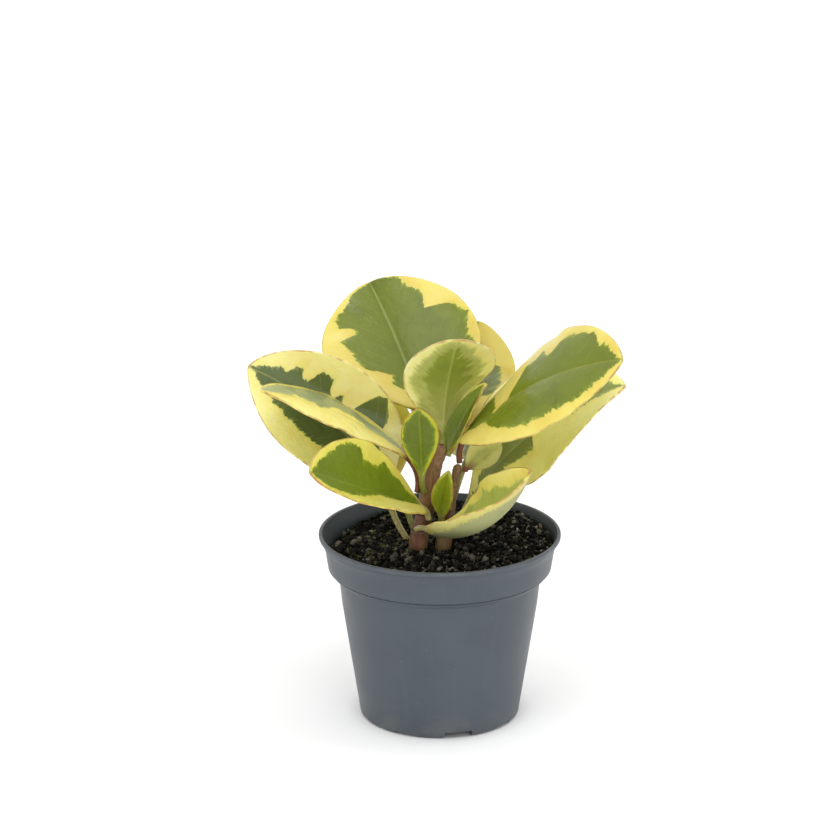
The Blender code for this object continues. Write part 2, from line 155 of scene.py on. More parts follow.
# Every shape repeats its leaf in the CAD model, and is checked against that leaf's box.
LEAVES = {
    "leaf_top_back": Leaf(
        base=(-3, 0.6, 137), azimuth=108, climb=39, petiole=24.5, length=79, width=83,
        rise=-4, droop=-2, sweep=16, roll=1, twist=-25,
        cup=-20, fold=21, widest=0.95, fullness=0.6,
        green_left=((0, 0.2), (0.12, 0.15), (0.2, 0.42), (0.27, 0.3), (0.33, 0.62), (0.47, 0.64),
                    (0.52, 0.7), (0.6, 0.72), (0.625, 0.54), (0.65, 0.5), (0.68, 0.56), (0.7, 0.8),
                    (0.8, 0.86), (0.87, 0.74), (0.94, 0.86), (1, 0.5)),
        green_right=((0, 0.5), (0.2, 0.8), (0.36, 0.96), (0.42, 0.86), (0.5, 0.87), (0.56, 0.95),
                     (0.62, 0.9), (0.66, 0.78), (0.665, 0.5), (0.7, 0.54), (0.76, 0.66), (0.82, 0.72),
                     (0.86, 0.64), (0.93, 0.9), (1, 0.9)),
        seed=3,
    ),
    "leaf_crown": Leaf(
        base=(0.9, -3.6, 143), azimuth=-49, climb=89, petiole=4.5, length=56.5, width=50.5,
        rise=7, droop=33, sweep=-23, roll=8, twist=-13,
        cup=-25, fold=12, widest=1.45, fullness=0.74,
        green_left=((0, 1.1), (0.2, 1.0), (0.35, 0.84), (0.48, 0.88), (0.55, 0.7), (0.68, 0.74),
                    (0.76, 0.55), (0.88, 0.56), (1, 0.3)),
        green_right=((0, 1.1), (0.25, 0.9), (0.4, 0.82), (0.55, 0.86), (0.66, 0.74), (0.74, 0.68),
                     (0.84, 0.6), (0.94, 0.5), (1, 0.35)),
        colours="crown", stalk="green", ragged=1.5, soft=2.4, depth=6.5, seed=5, bright_foot=0.5,
    ),
    "leaf_front_small": Leaf(
        base=(-7.9, -6.8, 118.5), azimuth=75, climb=96, petiole=9.5, length=38.5, width=19,
        rise=39, droop=-7, sweep=-1, roll=19, twist=-2,
        cup=23, fold=-5, widest=1.46, fullness=0.66,
        green_left=((0, 0.8), (0.25, 0.9), (0.5, 0.97), (0.8, 0.95), (0.95, 0.8), (1, 0.4)),
        green_right=((0, 0.6), (0.25, 0.6), (0.4, 0.8), (0.7, 0.84), (0.85, 0.7), (1, 0.3)),
        colours="small", stalk="green", ragged=0.5, wave=0.2, seed=7,
    ),
    "leaf_inner": Leaf(
        base=(3.9, -1.8, 135.5), azimuth=51, climb=56, petiole=2, length=39.5, width=28,
        rise=0, droop=12, sweep=-14, roll=-22, twist=-4,
        cup=17, fold=6, widest=1.09, fullness=0.59,
        green_left=((0, 0.9), (0.5, 0.9), (0.8, 0.8), (0.93, 0.6), (1, 0)),
        green_right=((0, 0.9), (0.6, 0.9), (0.8, 0.72), (0.92, 0.35), (1, 0)),
        colours="deep", stalk="green", ragged=0.5, wave=0.2, seed=11,
    ),
    "leaf_right_bud": Leaf(
        base=(12.4, -2.4, 127.7), azimuth=8, climb=40, petiole=2, length=21, width=18,
        rise=44, droop=10, sweep=2, roll=-80, twist=0,
        cup=12, fold=4, widest=1.09, fullness=0.63,
        green_left=((0, 0.5), (0.6, 0.3), (1, 0.1)),
        green_right=((0, 0.6), (0.5, 0.4), (1, 0.1)),
        colours="bud", ragged=0.8, soft=1.5, wave=0.2, seed=13,
    ),
    "leaf_back_right": Leaf(
        base=(0.7, 1.1, 132.4), azimuth=70, climb=42, petiole=17.5, length=70, width=47,
        rise=-10, droop=14, sweep=9, roll=13, twist=4,
        cup=4, fold=-1, widest=1.12, fullness=0.63,
        green_left=((0, 0.3), (0.3, 0.6), (0.5, 0.4), (0.7, 0.65), (0.9, 0.4), (1, 0.1)),
        green_right=((0, 0.2), (0.3, 0.35), (0.36, 0.7), (0.5, 0.74), (0.62, 0.68), (0.66, 0.3),
                     (0.8, 0.15), (1, -0.3)),
        colours="gold", seed=17,
    ),
    "leaf_left_big": Leaf(
        base=(-16.1, 9.6, 87.5), azimuth=174.6, climb=70, petiole=15, length=108.7, width=67.7,
        rise=-15.4, droop=45.5, sweep=11.9, roll=-51.7, twist=-34.4,
        cup=43, fold=14.4, widest=1.26, fullness=0.72, taper=0.34,
        green_left=((0, 0.2), (0.202, 0.3), (0.32, 0.5), (0.515, 0.5), (0.672, 0.48), (0.828, 0.46),
                    (0.93, 0.3), (0.984, 0)),
        green_right=((0, 0.5), (0.2, 0.3), (0.34, 0.45), (0.38, 0.7), (0.46, 0.97), (0.49, 0.86),
                     (0.51, 0.3), (0.56, 0.28), (0.575, 0.42), (0.59, 0.42), (0.6, 0.25), (0.635, 0.3),
                     (0.655, 0.56), (0.69, 0.6), (0.72, 0.54), (0.735, 0.28), (0.77, 0.3),
                     (0.785, 0.52), (0.82, 0.5), (0.835, 0.3), (0.86, 0.42), (0.9, 0.4), (0.95, 0.35),
                     (0.984, 0.4)),
        colours="grey", stalk="cream", seed=19,
    ),
    "leaf_left_level": Leaf(
        base=(-11.3, -3.1, 117), azimuth=192, climb=44, petiole=20.5, length=84.5, width=43,
        rise=60, droop=30, sweep=5, roll=-12, twist=9,
        cup=-13, fold=4, widest=1.31, fullness=0.63,
        green_left=((0, 0.4), (0.25, 0.1), (0.35, -0.1), (0.5, -0.2), (0.58, 0), (0.65, 0.3), (0.66, 0),
                    (0.8, -0.05), (0.9, 0.1), (0.95, 0.4), (1, 0.6)),
        green_right=((0, 0.7), (0.3, 0.5), (0.4, 0.85), (0.6, 0.85), (0.75, 0.72), (0.85, 0.85),
                     (1, 0.6)),
        colours="sage", seed=23,
    ),
    "leaf_front_left": Leaf(
        base=(-5.5, -5.2, 103.5), azimuth=231, climb=25, petiole=10.5, length=85.5, width=49,
        rise=54, droop=-2, sweep=-10, roll=-33, twist=-15,
        cup=27, fold=17, widest=1.19, fullness=0.49,
        green_left=((0, 0.2), (0.2, 0.1), (0.4, 0.1), (0.5, 0.2), (0.6, 0.3), (0.75, 0.52), (0.9, 0.7),
                    (1, 0.5)),
        green_right=((0, 0.6), (0.1, 0.5), (0.2, 0.65), (0.34, 0.84), (0.4, 0.68), (0.46, 0.62),
                     (0.55, 0.62), (0.6, 0.82), (0.7, 0.9), (0.78, 0.92), (0.88, 0.7), (0.93, 0.6),
                     (1, 0.2)),
        colours="deep", stalk="cream", seed=29,
    ),
    "leaf_right_big": Leaf(
        base=(9.8, -1.6, 131.8), azimuth=-35, climb=50, petiole=14.5, length=104.5, width=68,
        rise=52, droop=36, sweep=8, roll=16, twist=33,
        cup=-33, fold=12, widest=0.9, fullness=0.59,
        green_left=((0, 0.7), (0.12, 0.7), (0.22, 0.35), (0.27, -0.3), (0.34, 0.05), (0.4, 0.34),
                    (0.43, 0.52), (0.49, 0.5), (0.52, 0.62), (0.56, 0.5), (0.6, 0.5), (0.63, 0.68),
                    (0.68, 0.76), (0.78, 0.82), (0.85, 0.84), (0.865, 0.5), (0.88, 0.46), (0.9, 0.62),
                    (0.93, 0.6), (0.95, 0.34), (1, 0.2)),
        green_right=((0, 0.5), (0.22, 0.45), (0.28, 0.62), (0.4, 0.76), (0.6, 0.8), (0.8, 0.78),
                     (0.92, 0.66), (1, 0.3)),
        seed=31,
    ),
    "leaf_right_low": Leaf(
        base=(10.2, 12, 87.6), azimuth=-8.6, climb=61.9, petiole=15, length=108.2, width=62.5,
        rise=40, droop=42.1, sweep=0.6, roll=78.3, twist=-62.6,
        cup=8.9, fold=12.9, widest=1.37, fullness=0.68, taper=0.42,
        green_left=((0, 0.4), (0.199, 0.4), (0.359, 0.6), (0.518, 0.5), (0.678, 0.7), (0.838, 0.6),
                    (0.998, 0.2)),
        green_right=((0, 1.2), (0.2, 1.1), (0.27, 0.8), (0.3, 0.25), (0.359, 0.3), (0.439, 0.34),
                     (0.487, 0.3), (0.502, 0.04), (0.638, 0.06), (0.71, 0.18), (0.878, 0.16), (1, 0.1)),
        patches=((0.3, 0.5, 0.04, 0.14),),
        colours="lime", stalk="green", seed=37,
    ),
    "leaf_front_right": Leaf(
        base=(-11.7, -4.4, 97.8), azimuth=-56, climb=-3, petiole=12, length=81, width=46.5,
        rise=37, droop=-76, sweep=49, roll=1, twist=26,
        cup=39, fold=24, widest=1.12, fullness=0.51,
        green_left=((0, 0.5), (0.2, 0.75), (0.32, 0.84), (0.45, 0.72), (0.55, 0.86), (0.64, 0.7),
                    (0.72, 0.66), (0.84, 0.36), (1, 0.1)),
        green_right=((0, 0.2), (0.2, 0.6), (0.5, 0.78), (0.8, 0.76), (0.9, 0.5), (1, 0.1)),
        colours="boat", stalk="cream", soft=0.5, seed=41,
    ),
    "leaf_front_young": Leaf(
        base=(0.6, -3.3, 101.5), azimuth=99, climb=109, petiole=3, length=30, width=13,
        rise=10, droop=-7, sweep=16, roll=-30, twist=-11,
        cup=25, fold=20, widest=1.05, fullness=0.75,
        green_left=((0, 1.2), (0.5, 0.95), (1, 0.8)),
        green_right=((0, 1.2), (0.5, 0.9), (1, 0.8)),
        colours="young", stalk="green", ragged=0.4, soft=0.6, wave=0.2, seed=43,
    ),
    "leaf_rear_left": Leaf(
        base=(-12, 15.5, 87.7), azimuth=129, climb=55, petiole=30.5, length=71.5, width=54,
        rise=3, droop=25, sweep=10, roll=1, twist=6,
        cup=6, fold=7, widest=1.16, fullness=0.61,
        green_left=((0, 0.4), (0.2, 0.6), (0.3, 0.35), (0.45, 0.7), (0.6, 0.45), (0.75, 0.72),
                    (0.9, 0.5), (1, 0.2)),
        green_right=((0, 0.3), (0.25, 0.5), (0.4, 0.75), (0.5, 0.5), (0.68, 0.66), (0.82, 0.4),
                     (1, 0.1)),
        stalk="green", seed=47,
    ),
    "leaf_rear_middle": Leaf(
        base=(-4.6, 3.4, 119), azimuth=82, climb=30, petiole=25.5, length=71.5, width=53,
        rise=2, droop=20, sweep=-3, roll=17, twist=12,
        cup=12, fold=9, widest=1.2, fullness=0.61,
        green_left=((0, 0.5), (0.2, 0.5), (0.35, 0.75), (0.5, 0.6), (0.62, 0.8), (0.8, 0.5), (1, 0.2)),
        green_right=((0, 0.4), (0.3, 0.66), (0.42, 0.45), (0.6, 0.72), (0.8, 0.62), (1, 0.2)),
        seed=53,
    ),
    "leaf_rear_low": Leaf(
        base=(6.3, 3.4, 109), azimuth=73, climb=23, petiole=30, length=71.5, width=51.5,
        rise=14, droop=39, sweep=0, roll=-27, twist=0,
        cup=8, fold=2, widest=1.13, fullness=0.62,
        green_left=((0, 0.3), (0.2, 0.5), (0.3, 0.7), (0.45, 0.42), (0.6, 0.7), (0.8, 0.6), (1, 0.2)),
        green_right=((0, 0.3), (0.3, 0.55), (0.5, 0.35), (0.6, 0.62), (0.72, 0.4), (0.85, 0.5),
                     (1, 0.1)),
        stalk="green", seed=59,
    ),
}

# Each set: deep green, middle green, pale margin, underside green, underside margin.
LEAF_COLOURS = {
    "mature": ((0.150, 0.190, 0.010), (0.270, 0.310, 0.035), (0.700, 0.580, 0.130), (0.300, 0.350, 0.090),
               (0.640, 0.570, 0.200)),
    "crown": ((0.160, 0.200, 0.012), (0.400, 0.440, 0.040), (0.760, 0.700, 0.260), (0.215, 0.260, 0.028),
              (0.700, 0.660, 0.260)),
    "deep": ((0.130, 0.185, 0.004), (0.240, 0.310, 0.012), (0.680, 0.610, 0.110), (0.300, 0.360, 0.050),
             (0.640, 0.620, 0.180)),
    "small": ((0.130, 0.185, 0.004), (0.240, 0.310, 0.010), (0.520, 0.520, 0.035), (0.300, 0.360, 0.050),
              (0.520, 0.540, 0.060)),
    "boat": ((0.420, 0.460, 0.110), (0.540, 0.560, 0.150), (0.800, 0.690, 0.180), (0.350, 0.360, 0.165),
             (0.600, 0.540, 0.180)),
    "grey": ((0.115, 0.155, 0.050), (0.230, 0.270, 0.110), (0.880, 0.780, 0.300), (0.300, 0.340, 0.150),
             (0.780, 0.720, 0.330)),
    # Greyish sage greens: leaf colour with painted glare, the grey on the green centre standing in for a
    # sheen.
    "sage": ((0.310, 0.350, 0.170), (0.440, 0.450, 0.200), (0.780, 0.680, 0.180), (0.420, 0.430, 0.220),
             (0.760, 0.700, 0.300)),
    # Dull gold leaf colour, darkened further as painted shade for a leaf that sits under the top leaves.
    "gold": ((0.110, 0.140, 0.020), (0.240, 0.270, 0.040), (0.560, 0.460, 0.080), (0.280, 0.320, 0.090),
             (0.560, 0.490, 0.160)),
    "lime": ((0.250, 0.290, 0.080), (0.420, 0.440, 0.130), (0.880, 0.800, 0.280), (0.300, 0.330, 0.080),
             (0.900, 0.850, 0.330)),
    "young": ((0.280, 0.350, 0.020), (0.400, 0.450, 0.045), (0.560, 0.560, 0.110), (0.350, 0.410, 0.040),
              (0.540, 0.550, 0.130)),
    "bud": ((0.400, 0.420, 0.090), (0.520, 0.510, 0.140), (0.640, 0.590, 0.190), (0.440, 0.450, 0.110),
            (0.600, 0.570, 0.180)),
}
STALK_COLOURS = {
    "red": (0.170, 0.065, 0.035), "green": (0.230, 0.240, 0.060), "cream": (0.460, 0.400, 0.170),
}
MARGIN_LINE = (0.340, 0.140, 0.050)


# ---- settings ----------------------------------------------------------------------------------

class PeperomiaLeafSettings(bpy.types.PropertyGroup):
    """Sizes and finish of every leaf."""

    blade: FloatProperty(name="Blade", description="Thickness of a blade", default=0.0014, unit="LENGTH")
    edge_thinning: FloatProperty(
        name="Edge Thinning", description="Share of the thickness lost at the margin", default=0.45)
    petiole_radius: FloatProperty(
        name="Petiole Radius", description="Half the thickness of a stalk", default=0.0015, unit="LENGTH")
    groove: FloatProperty(
        name="Midrib Groove", description="Depth of the midrib's groove", default=0.0005, unit="LENGTH")
    gloss: FloatProperty(
        name="Roughness", description="Roughness of the upper side", default=0.34, subtype="FACTOR")
    ragged: FloatProperty(
        name="Ragged Edge", description="How far the green's edge strays", default=0.0022, unit="LENGTH")


class PeperomiaStemSettings(bpy.types.PropertyGroup):
    """Colours of the woody stems."""

    bark: FloatVectorProperty(
        name="Bark", description="Colour of the stems", default=(0.165, 0.072, 0.042), subtype="COLOR")
    green_bark: FloatVectorProperty(
        name="Green Bark", description="Colour of the greener patches", default=(0.150, 0.140, 0.035),
        subtype="COLOR")


class PeperomiaSoilSettings(bpy.types.PropertyGroup):
    """Makeup of the potting mix."""

    peat: FloatVectorProperty(
        name="Peat", description="Colour of the damp peat", default=(0.004, 0.004, 0.003), subtype="COLOR")
    crumbs: IntProperty(name="Crumbs", description="Number of crumbs on the surface", default=6800)
    grit: IntProperty(name="Grit", description="Number of pale perlite grains", default=620)
    bark_chips: IntProperty(name="Bark Chips", description="Number of bark and fibre bits", default=170)
    moss: IntProperty(name="Moss", description="Number of moss tufts", default=1500)


class PeperomiaPotSettings(bpy.types.PropertyGroup):
    """Finish of the nursery pot."""

    plastic: FloatVectorProperty(
        name="Plastic", description="Colour of the pot", default=(0.058, 0.072, 0.087), subtype="COLOR")
    roughness: FloatProperty(
        name="Roughness", description="Roughness of the plastic", default=0.42, subtype="FACTOR")
    wall: FloatProperty(name="Wall", description="Thickness of the wall", default=0.0011, unit="LENGTH")


class PeperomiaStageSettings(bpy.types.PropertyGroup):
    """Floor, lights and camera."""

    floor: FloatVectorProperty(
        name="Floor", description="Colour of the floor", default=(0.93, 0.93, 0.93), subtype="COLOR")
    glow: FloatProperty(
        name="Floor Glow", description="How much the floor lifts its own shadows", default=0.12)
    sky: FloatProperty(name="Sky", description="Strength of the light all round", default=1.0)
    key: FloatProperty(
        name="Key Light", description="Power of the large soft light", default=7.0, unit="POWER")
    glint: FloatProperty(
        name="Glint Light", description="Power of the small top light", default=3.0, unit="POWER")
    fill: FloatProperty(
        name="Fill Light", description="Power of the low front light", default=5.0, unit="POWER")
    lens: FloatProperty(name="Lens", description="Focal length in millimetres", default=189.2)


# ---- small helpers -----------------------------------------------------------------------------

def select_only(obj):
    bpy.ops.object.select_all(action="DESELECT")
    obj.select_set(True)
    bpy.context.view_layer.objects.active = obj


def apply_modifiers(obj):
    select_only(obj)
    for modifier in list(obj.modifiers):
        bpy.ops.object.modifier_apply(modifier=modifier.name)


def smooth(obj):
    obj.data.shade_smooth()


def smoothstep(value):
    value = np.clip(value, 0, 1)
    return value * value * (3 - 2 * value)


def scaled(colour, factor):
    """A colour made lighter or darker, channel by channel."""
    return tuple(channel * factor for channel in colour)


def blend(first, second, share):
    """A colour that lies share of the way from the first to the second."""
    return tuple((1 - share) * a + share * b for a, b in zip(first, second))


def tidy_mesh(obj):
    """Merge doubles and turn every face outwards."""
    work = bmesh.new()
    work.from_mesh(obj.data)
    bmesh.ops.remove_doubles(work, verts=work.verts, dist=1e-6)
    bmesh.ops.recalc_face_normals(work, faces=work.faces)
    work.to_mesh(obj.data)
    work.free()


def finish_piece(obj, slot, materials, *nodes):
    """Give a finished piece its materials, its body and the CAD nodes it stands for."""
    obj.data.materials.clear()
    for material in materials:
        obj.data.materials.append(material)
    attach(obj, "root")
    if nodes:
        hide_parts(*nodes)


class Nodes:
    """A short hand for building one node material."""

    def __init__(self, name):
        self.material = bpy.data.materials.new(name)
        self.material.use_nodes = True
        self.tree = self.material.node_tree
        self.shader = self.tree.nodes["Principled BSDF"]

    def add(self, kind, **settings):
        node = self.tree.nodes.new(kind)
        for key, value in settings.items():
            setattr(node, key, value)
        return node

    def link(self, source, target):
        self.tree.links.new(source, target)

    def feed(self, socket, value):
        if isinstance(value, bpy.types.NodeSocket):
            self.link(value, socket)
        else:
            socket.default_value = value

    def fix(self, **values):
        """Set plain values on the shader's own sockets, named with underscores for spaces."""
        for key, value in values.items():
            self.shader.inputs[key.replace("_", " ")].default_value = value

    def wear(self, **sources):
        """Link sources to the shader's own sockets, named with underscores for spaces."""
        for key, source in sources.items():
            self.link(source, self.shader.inputs[key.replace("_", " ")])

    def object_space(self):
        coordinates = self.add("ShaderNodeTexCoord")
        return self.mapped(coordinates.outputs["Object"], (1, 1, 1))

    def parts(self, vector):
        """The separate X, Y and Z outputs of a vector."""
        node = self.add("ShaderNodeSeparateXYZ")
        self.link(vector, node.inputs[0])
        return node.outputs

    def mapped(self, vector, scale):
        mapping = self.add("ShaderNodeMapping")
        mapping.inputs["Scale"].default_value = scale
        self.link(vector, mapping.inputs["Vector"])
        return mapping.outputs["Vector"]

    def noise(self, vector, scale, detail=3.0, rough=0.5):
        node = self.add("ShaderNodeTexNoise")
        node.inputs["Scale"].default_value = scale
        node.inputs["Detail"].default_value = detail
        node.inputs["Roughness"].default_value = rough
        self.link(vector, node.inputs["Vector"])
        return node.outputs["Fac"]

    def cells(self, vector, scale):
        node = self.add("ShaderNodeTexVoronoi")
        node.inputs["Scale"].default_value = scale
        self.link(vector, node.inputs["Vector"])
        return node.outputs["Distance"]

    def attribute(self, name):
        return self.add("ShaderNodeAttribute", attribute_name=name).outputs["Fac"]

    def math(self, operation, first, second=0.0):
        node = self.add("ShaderNodeMath", operation=operation)
        self.feed(node.inputs[0], first)
        self.feed(node.inputs[1], second)
        return node.outputs[0]

    def between(self, value, low, high, start=0.0, stop=1.0):
        """Map value from low..high to start..stop, smoothly and clamped."""
        node = self.add("ShaderNodeMapRange", interpolation_type="SMOOTHSTEP")
        self.feed(node.inputs["Value"], value)
        node.inputs["From Min"].default_value = low
        node.inputs["From Max"].default_value = high
        node.inputs["To Min"].default_value = start
        node.inputs["To Max"].default_value = stop
        return node.outputs["Result"]

    def mix(self, factor, first, second, blend="MIX"):
        node = self.add("ShaderNodeMix", data_type="RGBA", blend_type=blend)
        self.feed(node.inputs["Factor"], factor)
        for index, colour in ((6, first), (7, second)):
            if isinstance(colour, tuple):
                colour = (*colour[:3], 1.0)
            self.feed(node.inputs[index], colour)
        return node.outputs[2]

    def bump(self, height, strength, distance, before=None):
        node = self.add("ShaderNodeBump")
        node.inputs["Strength"].default_value = strength
        node.inputs["Distance"].default_value = distance
        self.link(height, node.inputs["Height"])
        if before is not None:
            self.link(before, node.inputs["Normal"])
        return node.outputs["Normal"]


# ---- leaf materials ----------------------------------------------------------------------------

def leaf_material(name, leaf, underside, settings):
    """Variegated skin: ragged green zone, pale margin, veins, stalk and a thin red margin line."""
    deep, middle, pale, under_green, under_pale = LEAF_COLOURS[leaf.colours]
    if underside:
        deep = under_green
        middle = blend(under_green, under_pale, 0.35)
        pale = under_pale
    nodes = Nodes(name)
    veins = nodes.add("ShaderNodeUVMap", uv_map="veins").outputs["UV"]
    flat = nodes.add("ShaderNodeUVMap", uv_map="flat").outputs["UV"]
    zone = nodes.attribute("green")
    stray = settings.ragged * leaf.ragged / MM

    teeth = nodes.math("SUBTRACT", nodes.noise(nodes.mapped(veins, (0.12, 0.42, 1)), 1.0, 3.0, 0.6), 0.5)
    lobes = nodes.math("SUBTRACT", nodes.noise(nodes.mapped(veins, (0.06, 0.13, 1)), 1.0, 1.0, 0.4), 0.5)
    teeth = nodes.math("MULTIPLY", teeth, 2.6 * stray)
    lobes = nodes.math("MULTIPLY", lobes, 2.2 * stray)
    edge = nodes.math("ADD", zone, nodes.math("ADD", teeth, lobes))
    green = nodes.between(edge, -leaf.soft, leaf.soft + 0.1)
    inner_teeth = nodes.noise(nodes.mapped(veins, (0.10, 0.30, 1)), 1.3, 2.0, 0.6)
    inner_teeth = nodes.math("MULTIPLY", nodes.math("SUBTRACT", inner_teeth, 0.47), 5.0 * stray)
    inner = nodes.math("ADD", edge, inner_teeth)
    core = nodes.between(inner, leaf.depth - leaf.soft - 0.8, leaf.depth + leaf.soft + 0.8)

    cloud = nodes.noise(flat, 0.055, 3.0, 0.55)
    fine = nodes.noise(flat, 1.1, 2.0, 0.5)
    green_tone = nodes.mix(core, middle, deep)
    green_tone = nodes.mix(nodes.between(cloud, 0.45, 0.75, 0.0, 0.75), green_tone, scaled(deep, 0.72))
    green_tone = nodes.mix(nodes.between(fine, 0.5, 0.8, 0.0, 0.3), green_tone, scaled(deep, 1.5))
    along = nodes.parts(veins)
    if leaf.bright_foot:
        near_foot = nodes.between(
            nodes.parts(flat)["Y"], 0.05 * leaf.length, 0.65 * leaf.length, leaf.bright_foot, 0.0)
        green_tone = nodes.mix(near_foot, green_tone, blend(middle, pale, 0.55))
    warm = (pale[0] * 0.93, pale[1] * 0.84, pale[2] * 0.62)
    fresh = (pale[0] * 0.80, pale[1] * 0.90, pale[2] * 0.72)
    light = (min(1.0, pale[0] * 1.07), min(1.0, pale[1] * 1.1), min(1.0, pale[2] * 1.6))
    pale_tone = nodes.mix(nodes.between(cloud, 0.3, 0.62), warm, pale)
    pale_tone = nodes.mix(
        nodes.between(edge, -9.0, -1.5, 0.0, 0.8), nodes.mix(0.45, pale_tone, light), pale_tone)
    pale_tone = nodes.mix(nodes.between(edge, -2.4, 0.0, 0.0, 0.45), pale_tone, fresh)
    colour = nodes.mix(green, pale_tone, green_tone)

    bent = nodes.math("ADD", along["Y"], nodes.math("MULTIPLY", nodes.noise(flat, 0.06, 1.0), 5.0))
    wave = nodes.math("ABSOLUTE", nodes.math("SINE", nodes.math("MULTIPLY", bent, pi / VEIN_SPACING)))
    rib = nodes.between(wave, 0.0, 0.13, 1.0, 0.0)
    side = nodes.math("ABSOLUTE", along["X"])
    rib = nodes.math("MULTIPLY", rib, nodes.between(side, 0.6, 4.0))
    rib = nodes.math("MULTIPLY", rib, nodes.between(nodes.noise(flat, 0.05, 2.0), 0.42, 0.62))
    colour = nodes.mix(nodes.math("MULTIPLY", rib, 0.10), colour, light)
    midrib = nodes.math(
        "MULTIPLY", nodes.between(side, 0.15, 0.9, 1.0, 0.0), nodes.between(zone, -2.0, 3.0, 0.3, 0.8))
    colour = nodes.mix(nodes.math("MULTIPLY", midrib, 0.32), colour, blend(middle, pale, 0.5))

    margin = nodes.attribute("margin")
    line = nodes.between(margin, 0.12, 0.55, 1.0, 0.0)
    line = nodes.math("MULTIPLY", line, nodes.between(nodes.noise(flat, 0.16, 2.0), 0.35, 0.6, 0.15, 0.75))
    colour = nodes.mix(line, colour, MARGIN_LINE)
    stalk = nodes.attribute("stalk")
    flecks = nodes.noise(nodes.mapped(flat, (1.2, 0.12, 1)), 1.0, 2.0)
    stalk_colour = STALK_COLOURS[leaf.stalk]
    stalk_tone = nodes.mix(nodes.between(flecks, 0.35, 0.7), stalk_colour, scaled(stalk_colour, 1.35))
    colour = nodes.mix(stalk, colour, stalk_tone)
    nodes.wear(Base_Color=colour)

    pores = nodes.noise(flat, 3.2, 2.0, 0.6)
    quilt = nodes.noise(flat, 0.22, 2.0, 0.5)
    normal = nodes.bump(quilt, 0.35, 0.0016)
    normal = nodes.bump(pores, 0.10, 0.0002, normal)
    normal = nodes.bump(rib, 0.14, 0.0003, normal)
    nodes.wear(Normal=normal)
    worn = nodes.noise(flat, 0.09, 3.0)
    gloss = settings.gloss + (0.22 if underside else 0.0)
    nodes.wear(Roughness=nodes.between(worn, 0.3, 0.7, gloss - 0.06, gloss + 0.10))
    nodes.fix(Specular_IOR_Level=0.28)
    if not underside:
        nodes.fix(Coat_Weight=0.25)
        nodes.fix(Coat_Roughness=0.16)
    nodes.fix(Subsurface_Weight=0.45)
    nodes.fix(Subsurface_Scale=0.004)
    nodes.fix(Subsurface_Radius=(1.0, 1.0, 0.35))
    return nodes.material


# ---- leaves ------------------------------------------------------------------------------------

def reach_at(points, shares):
    """Read a marking outline at shares of the blade's length."""
    return np.interp(shares, [point[0] for point in points], [point[1] for point in points])


def leaf_markings(leaf, s, side, half):
    """Signed millimetres inside the green zone for every point."""
    share = np.clip(s, 0, 1)
    left = reach_at(leaf.green_left, share) * half + side
    right = reach_at(leaf.green_right, share) * half - side
    zone = np.minimum(left, right)
    for centre_s, centre_u, reach_s, reach_u in leaf.patches:
        far = np.hypot((share - centre_s) / reach_s, (side / np.maximum(half, 0.1) - centre_u) / reach_u)
        zone = np.maximum(zone, (1 - far) * reach_u * half)
    return zone


